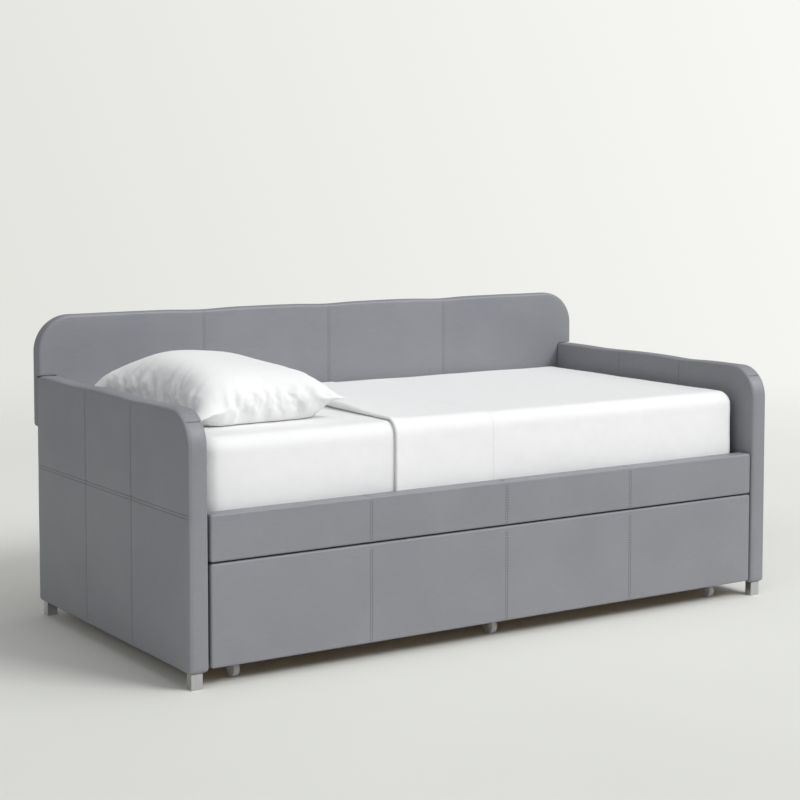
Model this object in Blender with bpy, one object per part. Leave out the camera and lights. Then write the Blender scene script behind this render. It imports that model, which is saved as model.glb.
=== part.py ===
"""Upholstered trundle bed: a twin daybed with padded arms and backrest, and a second bed that rolls out.

Metres, +Z up. The origin is on the floor under the middle of the bed. X runs along the bed, and
the front, where the trundle rolls out, faces -Y. Left and right are those of someone facing the front.
"""

import math

import bmesh
import bpy

# ---- overall size ----
LENGTH = 2.12  # over the outer faces of the arms
DEPTH = 1.09  # front of the arms to the back of the backrest
HEIGHT = 0.951  # floor to the top of the backrest
FRONT = -DEPTH / 2
BACK = DEPTH / 2
GAP = 0.0003  # clearance between pieces that touch

# ---- upholstery ----
PAD = 0.004  # foam and faux leather wrapped round a board
PAD_EDGE = 0.006  # soft edge of a wrapped board
EDGE_STEPS = 2

# ---- arms ----
ARM_THICK = 0.060
ARM_DEPTH = 1.0624
ARM_TOP = 0.7615
ARM_FRONT_RADIUS = 0.100
ARM_BACK_RADIUS = 0.022
ARM_FOOT_RADIUS = 0.013
ARM_INSIDE = LENGTH / 2 - ARM_THICK

# ---- feet ----
FOOT_SIZE = (0.035, 0.028, 0.045)
FOOT_INSET = (0.0104, 0.011)  # from the outer face of the arm, and from its front or back
FOOT_EDGE = 0.0012

# ---- backrest ----
BACKREST_THICK = 0.050
BACKREST_BOTTOM = 0.599
BACKREST_RADIUS = 0.115
BACKREST_FOOT_RADIUS = 0.012
BACKREST_OVER_ARM = 0.765  # underside of the part that sits over an arm
BACKREST_FRONT = BACK - BACKREST_THICK

# ---- rails between the arms ----
RAIL_HALF = ARM_INSIDE - 0.0065
FRONT_RAIL_THICK = 0.048
FRONT_RAIL_HEIGHTS = (0.3485, 0.4785)
RAIL_EDGE = 0.008
RAIL_EDGE_STEPS = 3
BACK_RAIL_THICK = 0.020
BACK_RAIL_BOTTOM = 0.340
LEDGER_HEIGHTS = (0.360, 0.400)
LEDGER_THICK = 0.028
LEDGER_HALF = 0.930
BOARD_EDGE = 0.0015

# ---- corner brackets ----
BRACKET_LEG = 0.055
BRACKET_THICK = 0.003
BRACKET_HEIGHTS = (0.352, 0.398)

# ---- slats ----
SLAT_COUNT = 9
SLAT_WIDTH = 0.120
SLAT_PITCH = 0.2175
SLAT_THICK = 0.018
SLAT_TOP = LEDGER_HEIGHTS[1] + GAP + SLAT_THICK

# ---- mattress and bedding ----
MATTRESS_X = (-0.985, 0.975)
MATTRESS_FRONT = FRONT + 0.056
MATTRESS_BACK = FRONT + 1.036
MATTRESS_TOP = 0.675
MATTRESS_CORNER = 0.050
MATTRESS_CROWN = 0.045  # radius of the top edge
MATTRESS_FOOT = 0.015  # radius of the bottom edge
COVERLET_LEFT = -0.362
COVERLET_THICK = 0.005
COVERLET_LIFT = 0.0008
COVERLET_LOW = 0.430
PILLOW_X = (-0.988, -0.430)
PILLOW_Y = (FRONT + 0.200, FRONT + 0.860)
PILLOW_HEIGHT = 0.192
PILLOW_CELLS = 14

# ---- trundle box ----
TRUNDLE_HEIGHTS = (0.0547, 0.3415)
BEARER_HEIGHTS = (0.0555, 0.0797)
BEARER_OUTER_WIDTH = 0.140
BEARER_MIDDLE_WIDTH = 0.090
TRUNDLE_HALF = 0.983
TRUNDLE_BACK = FRONT + 1.038
SIDE_THICK = 0.018
SIDE_HEIGHTS = (0.080, 0.220)
DECK_THICK = 0.012
DECK_TOP = SIDE_HEIGHTS[0] + DECK_THICK
TRUNDLE_MATTRESS_HEIGHT = 0.170
TRUNDLE_MATTRESS_MARGIN = 0.005
TRUNDLE_MATTRESS_CROWN = 0.035

# ---- casters ----
CASTER_X = {"left": -0.885, "middle": 0.0, "right": 0.885}
CASTER_Y = {"front": FRONT + 0.083, "rear": FRONT + 0.960}
WHEEL_RADIUS = 0.024
WHEEL_HALF_WIDTH = 0.010
WHEEL_STEPS = 28
AXLE_RADIUS = 0.003
AXLE_HEAD_RADIUS = 0.0048
AXLE_HEAD = 0.0015
AXLE_HEIGHT = WHEEL_RADIUS + GAP
BORE_RADIUS = 0.0033
CHEEK_INSIDE = 0.0108
CHEEK_THICK = 0.002
CHEEK_TOP_HALF = 0.015
CHEEK_END_RADIUS = 0.0075
PLATE_SIZE = (0.060, 0.040)
PLATE_THICK = 0.0025

GREY = (0.225, 0.235, 0.262)
WHITE = (0.86, 0.86, 0.85)

# name: (colour, roughness, metallic)
FINISHES = {
    "upholstery": (GREY, 0.55, 0.0),
    "particle_board": ((0.50, 0.36, 0.22), 0.85, 0.0),
    "pine": ((0.66, 0.47, 0.28), 0.70, 0.0),
    "birch": ((0.74, 0.58, 0.39), 0.65, 0.0),
    "plywood": ((0.62, 0.46, 0.28), 0.70, 0.0),
    "satin_steel": ((0.66, 0.66, 0.67), 0.30, 1.0),
    "zinc_steel": ((0.60, 0.61, 0.63), 0.38, 1.0),
    "caster_plastic": ((0.52, 0.52, 0.53), 0.50, 0.0),
    "sheet_cotton": (WHITE, 0.90, 0.0),
    "coverlet_cotton": (WHITE, 0.92, 0.0),
    "pillow_cotton": (WHITE, 0.90, 0.0),
    "ticking": ((0.80, 0.79, 0.76), 0.92, 0.0),
}


def finish_for(name, finish):
    """A material of its own for one sub-part."""
    colour, roughness, metallic = FINISHES[finish]
    material = bpy.data.materials.new(f"{name}_{finish}")
    material.use_nodes = True
    shader = material.node_tree.nodes["Principled BSDF"]
    shader.inputs["Base Color"].default_value = (*colour, 1.0)
    shader.inputs["Roughness"].default_value = roughness
    shader.inputs["Metallic"].default_value = metallic
    return material


def new_object(name, mesh, location=(0.0, 0.0, 0.0), finish=None, parent=None):
    """An object at its world location, with its own material."""
    thing = bpy.data.objects.new(name, mesh)
    bpy.context.collection.objects.link(thing)
    thing.location = location
    if parent:
        thing.parent = parent
        thing.location = [at - base for at, base in zip(location, parent.location)]
    if finish:
        if mesh.materials:
            thing.material_slots[0].link = "OBJECT"
            thing.material_slots[0].material = finish_for(name, finish)
        else:
            mesh.materials.append(finish_for(name, finish))
    return thing


def finished_mesh(name, bm, smooth_below=35.0):
    """The bmesh as mesh data, facing out, smooth except over sharp edges."""
    bmesh.ops.recalc_face_normals(bm, faces=bm.faces)
    mesh = bpy.data.meshes.new(name)
    bm.to_mesh(mesh)
    bm.free()
    mesh.shade_smooth()
    mesh.set_sharp_from_angle(angle=math.radians(smooth_below))
    return mesh


def rounded_outline(corners):
    """Points round a convex outline. A corner is (u, v, radius, steps), in counter-clockwise order."""
    points = []
    for i, (u, v, radius, steps) in enumerate(corners):
        before = corners[i - 1]
        after = corners[(i + 1) % len(corners)]
        to_before = unit(before[0] - u, before[1] - v)
        to_after = unit(after[0] - u, after[1] - v)
        centre = (u + (to_before[0] + to_after[0]) * radius, v + (to_before[1] + to_after[1]) * radius)
        for step in range(steps + 1):
            turn = step / steps * math.pi / 2
            along_before = 1 - math.sin(turn)
            along_after = 1 - math.cos(turn)
            points.append(
                (
                    centre[0] - to_after[0] * radius * (1 - along_after) - to_before[0] * radius * (1 - along_before),
                    centre[1] - to_after[1] * radius * (1 - along_after) - to_before[1] * radius * (1 - along_before),
                )
            )
    return points


def unit(u, v):
    length = math.hypot(u, v)
    return (u / length, v / length)


PLANES = {
    "X": lambda u, v, w: (w, u, v),
    "Y": lambda u, v, w: (u, w, v),
    "Z": lambda u, v, w: (u, v, w),
}


def prism(outline, normal, low, high, low_edge=0.0, high_edge=0.0, steps=EDGE_STEPS):
    """A bmesh of an outline extruded along an axis from low to high, with rounded rims."""
    place = PLANES[normal]
    bm = bmesh.new()
    rings = []
    for w in (low, high):
        rings.append([bm.verts.new(place(u, v, w)) for u, v in outline])
    caps = [bm.faces.new(ring) for ring in rings]
    count = len(outline)
    for i in range(count):
        j = (i + 1) % count
        bm.faces.new((rings[0][i], rings[0][j], rings[1][j], rings[1][i]))
    bmesh.ops.recalc_face_normals(bm, faces=bm.faces)
    rims = [(list(cap.edges), edge) for cap, edge in zip(caps, (low_edge, high_edge))]
    for edges, edge in rims:
        if edge:
            bmesh.ops.bevel(
                bm, geom=edges, offset=edge, offset_type="OFFSET", segments=steps, profile=0.5, affect="EDGES"
            )
    return bm


def rectangle(low_u, high_u, low_v, high_v, radius=0.0, steps=3):
    """A rectangle's outline, with rounded corners if a radius is given."""
    if not radius:
        return [(low_u, low_v), (high_u, low_v), (high_u, high_v), (low_u, high_v)]
    ends = ((low_u, low_v), (high_u, low_v), (high_u, high_v), (low_u, high_v))
    return rounded_outline([(u, v, radius, steps) for u, v in ends])


def board(name, low, high, finish, edge=BOARD_EDGE, parent=None):
    """A rectangular board between two corners, with its sharp edges broken."""
    middle = [(a + b) / 2 for a, b in zip(low, high)]
    half = [(b - a) / 2 for a, b in zip(low, high)]
    bm = prism(rectangle(-half[0], half[0], -half[1], half[1]), "Z", -half[2], half[2])
    if edge:
        bmesh.ops.bevel(bm, geom=list(bm.edges), offset=edge, segments=1, profile=0.5, affect="EDGES")
    return new_object(name, finished_mesh(name, bm, 50.0), middle, finish, parent)


def guide(name, mesh, location=(0.0, 0.0, 0.0)):
    """A tool body for a Boolean, which is not part of the bed."""
    thing = new_object(name, mesh, location)
    thing.hide_render = True
    thing.display_type = "WIRE"
    return thing


def boolean(target, tool, operation="DIFFERENCE"):
    modifier = target.modifiers.new(operation.title(), "BOOLEAN")
    modifier.operation = operation
    modifier.solver = "EXACT"
    modifier.object = tool


def mirrored(side):
    return -1 if side == "left" else 1


# ---- arms ----


def arm_outline(inset, bottom):
    """Side view of an arm in Y and Z, drawn in by inset."""
    front = FRONT + inset
    back = FRONT + ARM_DEPTH - inset
    top = ARM_TOP - inset
    foot = max(ARM_FOOT_RADIUS - inset, 0.001)
    return rounded_outline(
        [
            (front, bottom, foot, 3),
            (back, bottom, foot, 3),
            (back, top, ARM_BACK_RADIUS - inset, 5),
            (front, top, ARM_FRONT_RADIUS - inset, 12),
        ]
    )


def build_arm(side):
    """A board wrapped in foam and faux leather, and the board inside it."""
    sign = mirrored(side)
    middle = (sign * (LENGTH / 2 - ARM_THICK / 2), 0.0, 0.0)
    bottom = FOOT_SIZE[2] + GAP
    half = ARM_THICK / 2
    bm = prism(arm_outline(0.0, bottom), "X", -half, half, PAD_EDGE, PAD_EDGE)
    cover = new_object(f"{side}_arm_cover", finished_mesh(f"{side}_arm_cover", bm), middle, "upholstery")
    bm = prism(arm_outline(PAD, bottom - 0.03), "X", PAD - half, half - PAD)
    boolean(cover, guide(f"{side}_arm_cavity", finished_mesh(f"{side}_arm_cavity", bm), middle))
    inset = PAD + GAP
    bm = prism(arm_outline(inset, bottom), "X", inset - half, half - inset)
    new_object(f"{side}_arm_core", finished_mesh(f"{side}_arm_core", bm), middle, "particle_board")


def build_feet():
    """Four square metal feet, one under each end of each arm."""
    foot_x = LENGTH / 2 - FOOT_INSET[0] - FOOT_SIZE[0] / 2
    foot_y = {
        "front": FRONT + FOOT_INSET[1] + FOOT_SIZE[1] / 2,
        "rear": FRONT + ARM_DEPTH - FOOT_INSET[1] - FOOT_SIZE[1] / 2,
    }
    for end, y in foot_y.items():
        for side in ("left", "right"):
            x = mirrored(side) * foot_x
            low = (x - FOOT_SIZE[0] / 2, y - FOOT_SIZE[1] / 2, 0.0)
            high = (x + FOOT_SIZE[0] / 2, y + FOOT_SIZE[1] / 2, FOOT_SIZE[2])
            board(f"foot_{end}_{side}", low, high, "satin_steel", FOOT_EDGE)


# ---- backrest ----


def backrest_shape(name, inset, bottom):
    """The backrest's outline as a solid, notched at both ends for the arms, drawn in by inset."""
    half = LENGTH / 2 - inset
    top = HEIGHT - inset
    foot = BACKREST_FOOT_RADIUS - inset
    outline = rounded_outline(
        [
            (-half, bottom, foot, 3),
            (half, bottom, foot, 3),
            (half, top, BACKREST_RADIUS - inset, 12),
            (-half, top, BACKREST_RADIUS - inset, 12),
        ]
    )
    edge = 0.0 if inset else PAD_EDGE
    bm = prism(outline, "Y", BACKREST_FRONT + inset, BACK - inset, edge, edge)
    shape = new_object(name, finished_mesh(name, bm))
    notch_back = FRONT + ARM_DEPTH + GAP + inset
    for side in ("left", "right"):
        xs = sorted((mirrored(side) * (RAIL_HALF - inset), mirrored(side) * (LENGTH / 2 + 0.05)))
        bm = prism(
            rectangle(xs[0], xs[1], BACKREST_BOTTOM - 0.1, BACKREST_OVER_ARM + inset),
            "Y",
            BACKREST_FRONT - 0.02,
            notch_back,
        )
        boolean(shape, guide(f"{name}_{side}_notch", finished_mesh(f"{name}_{side}_notch", bm)))
    return shape


def build_backrest():
    """The padded back panel: it sits over the arms and hangs down behind them."""
    cover = backrest_shape("backrest_cover", 0.0, BACKREST_BOTTOM)
    cover.data.materials.append(finish_for("backrest_cover", "upholstery"))
    cavity = backrest_shape("backrest_cavity", PAD, BACKREST_BOTTOM - 0.03)
    cavity.hide_render = True
    cavity.display_type = "WIRE"
    boolean(cover, cavity)
    core = backrest_shape("backrest_core", PAD + GAP, BACKREST_BOTTOM)
    core.data.materials.append(finish_for("backrest_core", "particle_board"))


# ---- rails, ledgers and brackets ----


def wrapped_rail(name, heights, parent=None):
    """A board wrapped on its front, ends, top and bottom. The wrap is open at the back."""
    low, high = heights
    back = FRONT + FRONT_RAIL_THICK
    bm = prism(
        rectangle(-RAIL_HALF, RAIL_HALF, low, high, RAIL_EDGE, RAIL_EDGE_STEPS),
        "Y",
        FRONT,
        back,
        low_edge=RAIL_EDGE * 0.98,
        steps=RAIL_EDGE_STEPS,
    )
    cover = new_object(f"{name}_cover", finished_mesh(f"{name}_cover", bm), finish="upholstery", parent=parent)

    def filling(inset, back_at):
        outline = rectangle(
            inset - RAIL_HALF, RAIL_HALF - inset, low + inset, high - inset, RAIL_EDGE - inset, RAIL_EDGE_STEPS
        )
        return prism(outline, "Y", FRONT + inset, back_at, low_edge=0.003, steps=1)

    cavity = guide(f"{name}_cavity", finished_mesh(f"{name}_cavity", filling(PAD, back + 0.02)))
    boolean(cover, cavity)
    core_mesh = finished_mesh(f"{name}_core", filling(PAD + GAP, back))
    new_object(f"{name}_core", core_mesh, finish="particle_board", parent=parent)


def build_rails():
    wrapped_rail("front_rail", FRONT_RAIL_HEIGHTS)
    rail_back = FRONT + ARM_DEPTH
    rail_front = rail_back - BACK_RAIL_THICK
    board(
        "back_rail",
        (-RAIL_HALF, rail_front, BACK_RAIL_BOTTOM),
        (RAIL_HALF, rail_back, BACKREST_BOTTOM - GAP),
        "particle_board",
    )
    ledger_low, ledger_high = LEDGER_HEIGHTS
    front_face = FRONT + FRONT_RAIL_THICK + GAP
    back_face = rail_front - GAP
    board(
        "front_ledger",
        (-LEDGER_HALF, front_face, ledger_low),
        (LEDGER_HALF, front_face + LEDGER_THICK, ledger_high),
        "pine",
    )
    board(
        "back_ledger",
        (-LEDGER_HALF, back_face - LEDGER_THICK, ledger_low),
        (LEDGER_HALF, back_face, ledger_high),
        "pine",
    )
    for end, face, inward in (("front", front_face, 1), ("rear", back_face, -1)):
        for side in ("left", "right"):
            build_bracket(end, side, face, inward)


def build_bracket(end, side, face, inward):
    """A steel angle that ties a rail's end to an arm: one leg on the rail, one on the arm."""
    out = mirrored(side)
    x = out * (ARM_INSIDE - GAP)

    def at(along_rail, along_arm):
        return (x - out * along_rail, face + inward * along_arm)

    outline = [
        at(0.0, 0.0),
        at(BRACKET_LEG, 0.0),
        at(BRACKET_LEG, BRACKET_THICK),
        at(BRACKET_THICK, BRACKET_THICK),
        at(BRACKET_THICK, BRACKET_LEG),
        at(0.0, BRACKET_LEG),
    ]
    name = f"bracket_{end}_{side}"
    new_object(name, finished_mesh(name, prism(outline, "Z", *BRACKET_HEIGHTS)), finish="zinc_steel")


def build_slats():
    front = FRONT + FRONT_RAIL_THICK + 0.004
    back = FRONT + ARM_DEPTH - BACK_RAIL_THICK - 0.004
    for i in range(SLAT_COUNT):
        x = (i - (SLAT_COUNT - 1) / 2) * SLAT_PITCH
        board(
            f"slat_{i + 1}",
            (x - SLAT_WIDTH / 2, front, SLAT_TOP - SLAT_THICK),
            (x + SLAT_WIDTH / 2, back, SLAT_TOP),
            "birch",
        )


# ---- mattresses and bedding ----


def cushion_block(x_range, y_range, z_range, corner, crown, foot, grow=0.0):
    """A mattress: rounded corners, a soft top edge and a tighter bottom edge, grown by grow."""
    outline = rectangle(
        x_range[0] - grow, x_range[1] + grow, y_range[0] - grow, y_range[1] + grow, corner + grow, 4
    )
    bm = prism(outline, "Z", z_range[0], z_range[1] + grow, steps=3, high_edge=(crown + grow) * 0.99)
    if foot:
        bottom = min(bm.faces, key=lambda face: face.calc_center_median().z)
        bmesh.ops.bevel(bm, geom=list(bottom.edges), offset=foot, segments=2, profile=0.5, affect="EDGES")
    return bm


def build_mattress():
    bm = cushion_block(
        MATTRESS_X,
        (MATTRESS_FRONT, MATTRESS_BACK),
        (SLAT_TOP + GAP, MATTRESS_TOP),
        MATTRESS_CORNER,
        MATTRESS_CROWN,
        MATTRESS_FOOT,
    )
    new_object("mattress", finished_mesh("mattress", bm, 60.0), finish="sheet_cotton")


def build_coverlet():
    """A folded-back bed cover: over the top, down the front and down the right end of the mattress."""

    def layer(grow, low):
        depth = (MATTRESS_FRONT, MATTRESS_BACK)
        return cushion_block(MATTRESS_X, depth, (low, MATTRESS_TOP), MATTRESS_CORNER, MATTRESS_CROWN, 0.0, grow)

    outside = layer(COVERLET_LIFT + COVERLET_THICK, COVERLET_LOW)
    inside = layer(COVERLET_LIFT, COVERLET_LOW - 0.05)
    cover = new_object("coverlet", finished_mesh("coverlet", outside, 60.0), finish="coverlet_cotton")
    boolean(cover, guide("coverlet_inside", finished_mesh("coverlet_inside", inside)))
    bare = prism(rectangle(-1.2, COVERLET_LEFT, -0.7, 0.7), "Z", 0.3, 0.8)
    boolean(cover, guide("coverlet_bare_end", finished_mesh("coverlet_bare_end", bare)))
    behind = prism(rectangle(-1.2, 1.2, MATTRESS_BACK - 0.002, 0.7), "Z", 0.3, 0.8)
    boolean(cover, guide("coverlet_open_back", finished_mesh("coverlet_open_back", behind)))


def build_pillow():
    """A plain pillow shape: fullest in the middle, thin at the edges, flat where it rests."""
    half = [(b - a) / 2 for a, b in (PILLOW_X, PILLOW_Y)]
    middle = [(b + a) / 2 for a, b in (PILLOW_X, PILLOW_Y)]
    rest = MATTRESS_TOP + GAP
    edge_height = 0.30 * PILLOW_HEIGHT
    bm = bmesh.new()

    def fullness(s, t):
        return ((1 - abs(s) ** 3.0) * (1 - abs(t) ** 3.0)) ** 0.5

    def vertex(i, j, level):
        s = 2 * i / PILLOW_CELLS - 1
        t = 2 * j / PILLOW_CELLS - 1
        full = fullness(s, t)
        if level > 0:
            z = edge_height + (PILLOW_HEIGHT - edge_height) * full
        else:
            z = max(edge_height * (1 - 1.6 * full), 0.0)
        waist = 1 - 0.05 * (1 - max(abs(s), abs(t)) ** 4)
        return bm.verts.new((half[0] * s * waist, half[1] * t * waist, z))

    upper = {}
    lower = {}
    for i in range(PILLOW_CELLS + 1):
        for j in range(PILLOW_CELLS + 1):
            upper[i, j] = vertex(i, j, 1)
            on_rim = i in (0, PILLOW_CELLS) or j in (0, PILLOW_CELLS)
            lower[i, j] = upper[i, j] if on_rim else vertex(i, j, -1)
    for i in range(PILLOW_CELLS):
        for j in range(PILLOW_CELLS):
            ring = ((i, j), (i + 1, j), (i + 1, j + 1), (i, j + 1))
            bm.faces.new([upper[key] for key in ring])
            bm.faces.new([lower[key] for key in reversed(ring)])
    new_object("pillow", finished_mesh("pillow", bm, 80.0), (*middle, rest), "pillow_cotton")


# ---- trundle ----


def build_trundle_box(trundle):
    """The rolling bed's box: padded front, side and back boards, bearers, deck and mattress."""
    wrapped_rail("trundle_front", TRUNDLE_HEIGHTS, trundle)
    inside_front = FRONT + FRONT_RAIL_THICK + GAP
    inside_back = TRUNDLE_BACK - SIDE_THICK - GAP
    inside_half = TRUNDLE_HALF - SIDE_THICK - GAP
    for side in ("left", "right"):
        out = mirrored(side)
        xs = sorted((out * (TRUNDLE_HALF - SIDE_THICK), out * TRUNDLE_HALF))
        low = (xs[0], inside_front, SIDE_HEIGHTS[0])
        board(f"trundle_{side}_side", low, (xs[1], inside_back, SIDE_HEIGHTS[1]), "plywood", parent=trundle)
        xs = sorted((out * GAP, out * inside_half))
        low = (xs[0], inside_front, SIDE_HEIGHTS[0])
        board(f"trundle_deck_{side}", low, (xs[1], inside_back, DECK_TOP), "plywood", parent=trundle)
    board(
        "trundle_back",
        (-TRUNDLE_HALF, TRUNDLE_BACK - SIDE_THICK, SIDE_HEIGHTS[0]),
        (TRUNDLE_HALF, TRUNDLE_BACK, SIDE_HEIGHTS[1]),
        "plywood",
        parent=trundle,
    )
    edge = TRUNDLE_HALF - BEARER_OUTER_WIDTH
    bearers = {
        "left": (-TRUNDLE_HALF, -edge),
        "middle": (-BEARER_MIDDLE_WIDTH / 2, BEARER_MIDDLE_WIDTH / 2),
        "right": (edge, TRUNDLE_HALF),
    }
    for place, (low_x, high_x) in bearers.items():
        low = (low_x, inside_front, BEARER_HEIGHTS[0])
        high = (high_x, TRUNDLE_BACK, BEARER_HEIGHTS[1])
        board(f"trundle_bearer_{place}", low, high, "pine", parent=trundle)
    margin = TRUNDLE_MATTRESS_MARGIN
    bm = cushion_block(
        (margin - inside_half, inside_half - margin),
        (inside_front + margin, inside_back - margin),
        (DECK_TOP + GAP, DECK_TOP + GAP + TRUNDLE_MATTRESS_HEIGHT),
        MATTRESS_CORNER,
        TRUNDLE_MATTRESS_CROWN,
        MATTRESS_FOOT,
    )
    new_object("trundle_mattress", finished_mesh("trundle_mattress", bm, 60.0), finish="ticking", parent=trundle)


def turned(name, profile, steps, closed):
    """A mesh turned about X from (x, radius) points. A closed profile leaves a bore."""
    bm = bmesh.new()
    ring = [bm.verts.new((x, 0.0, radius)) for x, radius in profile]
    edges = [bm.edges.new(pair) for pair in zip(ring, ring[1:])]
    if closed:
        edges.append(bm.edges.new((ring[-1], ring[0])))
    bmesh.ops.spin(
        bm, geom=ring + edges, cent=(0.0, 0.0, 0.0), axis=(1.0, 0.0, 0.0), angle=math.tau, steps=steps
    )
    bmesh.ops.remove_doubles(bm, verts=bm.verts, dist=1e-6)
    return finished_mesh(name, bm)


def wheel_mesh():
    """A plastic wheel with a dished web between its hub and its rim."""
    side = WHEEL_HALF_WIDTH
    half = [
        (side - 0.0005, BORE_RADIUS),
        (side - 0.0005, 0.0080),
        (side - 0.0050, 0.0090),
        (side - 0.0050, 0.0175),
        (side, 0.0190),
        (side, WHEEL_RADIUS - 0.0025),
        (side - 0.0025, WHEEL_RADIUS),
    ]
    profile = half + [(-x, radius) for x, radius in reversed(half)]
    return turned("caster_wheel", profile, WHEEL_STEPS, closed=True)


def axle_mesh():
    """A pin with a head beyond each cheek."""
    neck = CHEEK_INSIDE + CHEEK_THICK + GAP
    end = neck + AXLE_HEAD
    half = [(neck, AXLE_RADIUS), (neck, AXLE_HEAD_RADIUS), (end, AXLE_HEAD_RADIUS - 0.001), (end, 0.0)]
    profile = [(-x, radius) for x, radius in reversed(half)] + half
    return turned("caster_axle", profile, 16, closed=False)


def housing_mesh():
    """A mounting plate with two cheeks that reach down past the axle, as one piece of pressed steel."""
    plate_low = BEARER_HEIGHTS[0] - GAP - PLATE_THICK - AXLE_HEIGHT
    plate_high = plate_low + PLATE_THICK
    half_x, half_y = PLATE_SIZE[0] / 2, PLATE_SIZE[1] / 2
    bm = prism(rectangle(-half_x, half_x, -half_y, half_y, 0.005, 3), "Z", plate_low, plate_high)
    housing = guide("housing_plate", finished_mesh("housing_plate", bm))
    tools = [housing]
    top = plate_low + PLATE_THICK / 2
    end = [
        (CHEEK_END_RADIUS * math.cos(angle), CHEEK_END_RADIUS * math.sin(angle))
        for angle in (math.pi + math.pi * step / 8 for step in range(9))
    ]
    outline = [(-CHEEK_TOP_HALF, top), *end, (CHEEK_TOP_HALF, top)]
    for sign in (-1, 1):
        faces = sorted((sign * CHEEK_INSIDE, sign * (CHEEK_INSIDE + CHEEK_THICK)))
        name = f"housing_cheek_{sign}"
        cheek = guide(name, finished_mesh(name, prism(outline, "X", *faces)))
        boolean(housing, cheek, "UNION")
        tools.append(cheek)
    bore = [
        (BORE_RADIUS * math.cos(math.tau * step / 16), BORE_RADIUS * math.sin(math.tau * step / 16))
        for step in range(16)
    ]
    drill = guide("housing_drill", finished_mesh("housing_drill", prism(bore, "X", -0.03, 0.03)))
    boolean(housing, drill)
    tools.append(drill)
    depsgraph = bpy.context.evaluated_depsgraph_get()
    mesh = bpy.data.meshes.new_from_object(housing.evaluated_get(depsgraph))
    mesh.name = "caster_housing"
    for tool in tools:
        bpy.data.objects.remove(tool, do_unlink=True)
    return mesh


def build_casters(trundle):
    """Six fixed casters under the bearers, each a housing, an axle and a wheel on the axle's line."""
    meshes = {
        "housing": (housing_mesh(), "zinc_steel"),
        "axle": (axle_mesh(), "zinc_steel"),
        "wheel": (wheel_mesh(), "caster_plastic"),
    }
    for end, y in CASTER_Y.items():
        for place, x in CASTER_X.items():
            for piece, (mesh, finish) in meshes.items():
                name = f"caster_{end}_{place}_{piece}"
                new_object(name, mesh.copy(), (x, y, AXLE_HEIGHT), finish, trundle)


def main():
    for thing in list(bpy.data.objects):
        bpy.data.objects.remove(thing, do_unlink=True)
    for side in ("left", "right"):
        build_arm(side)
    build_feet()
    build_backrest()
    build_rails()
    build_slats()
    build_mattress()
    build_coverlet()
    build_pillow()
    trundle = bpy.data.objects.new("trundle", None)
    bpy.context.collection.objects.link(trundle)
    trundle.location = (0.0, FRONT, 0.0)
    build_trundle_box(trundle)
    build_casters(trundle)


main()
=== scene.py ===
"""Looks for the trundle bed: padded upholstery, bedding, mattresses, wood, metal and casters.

Metres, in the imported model's frame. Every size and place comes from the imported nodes' boxes.
"""

import math

import bmesh
import bpy
import numpy as np
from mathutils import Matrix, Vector, noise


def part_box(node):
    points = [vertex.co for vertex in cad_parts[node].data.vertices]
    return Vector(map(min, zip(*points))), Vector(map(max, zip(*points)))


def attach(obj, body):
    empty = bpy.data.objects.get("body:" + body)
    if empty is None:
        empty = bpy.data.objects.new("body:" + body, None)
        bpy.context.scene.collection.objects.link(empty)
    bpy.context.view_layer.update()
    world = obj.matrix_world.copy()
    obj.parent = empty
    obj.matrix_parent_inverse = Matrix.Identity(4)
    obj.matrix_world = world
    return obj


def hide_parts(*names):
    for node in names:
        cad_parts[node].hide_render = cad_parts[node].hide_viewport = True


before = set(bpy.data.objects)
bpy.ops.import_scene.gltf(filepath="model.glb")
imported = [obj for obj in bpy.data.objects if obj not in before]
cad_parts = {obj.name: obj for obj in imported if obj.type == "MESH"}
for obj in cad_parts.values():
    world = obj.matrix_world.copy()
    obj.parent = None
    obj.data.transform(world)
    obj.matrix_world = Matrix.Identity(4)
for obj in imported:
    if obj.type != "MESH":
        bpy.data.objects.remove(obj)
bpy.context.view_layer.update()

BED = "bed_frame"
TRUNDLE = "trundle"

# ---- upholstery ----
SOFT = 0.0085  # radius of a padded edge
GUSSET = 0.008  # from a panel's face to the seam of the band round its edge
# Widths of the painted shade along the bands' seams and along the arms' face seams.
BAND_SEAM_SHADE_WIDTH = 0.0016
FACE_SEAM_SHADE_WIDTH = 0.0011
STITCH_PITCH = 0.0084
STITCH_LENGTH = 0.0046
STITCH_RADIUS = 0.00095
FINE_STITCH = 0.75  # the arms' and backrest's stitches, against the rails'
RAIL_SEAMS = (-0.48, 0.0, 0.48)
ARM_SEAMS = (0.36, 0.68)  # from the front of the arm
ARM_CROSS_SEAM = 0.477
BAND_JOIN = 0.686  # where the band's two lengths are joined, above the arm's underside
TOPSTITCH = 0.0038  # from a seam to the row of stitches beside it
CROSS_ROWS = (-0.0045, 0.0045)  # the arms' level seam is two rows, above and below its middle
BACK_ROWS = (-0.0030, 0.0030)  # each of the backrest's seams is two rows, left and right of its middle
THREAD_SINK = -0.00005  # a stitch's middle, against the leather
PADDING = 0.004  # how much tighter a core's corners are than its cover's
ARM_CORNERS = (0.013, 0.013, 0.022, 0.100)  # radii: front foot, back foot, back top, front top
BACK_CORNERS = (0.012, 0.012, 0.115, 0.115)

# ---- bedding ----
MATTRESS_CORNERS = (0.05,) * 4
SHEET_LIFT = 0.003  # how far the sheet lies above the CAD mattress's top
PILLOW_LIFT = 0.0035  # and the underside of the pillow
PILLOW_CELL = 0.0089  # one square of the flat panels' mesh
HEM_X = -0.013  # where the part of the coverlet that is folded back ends

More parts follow.
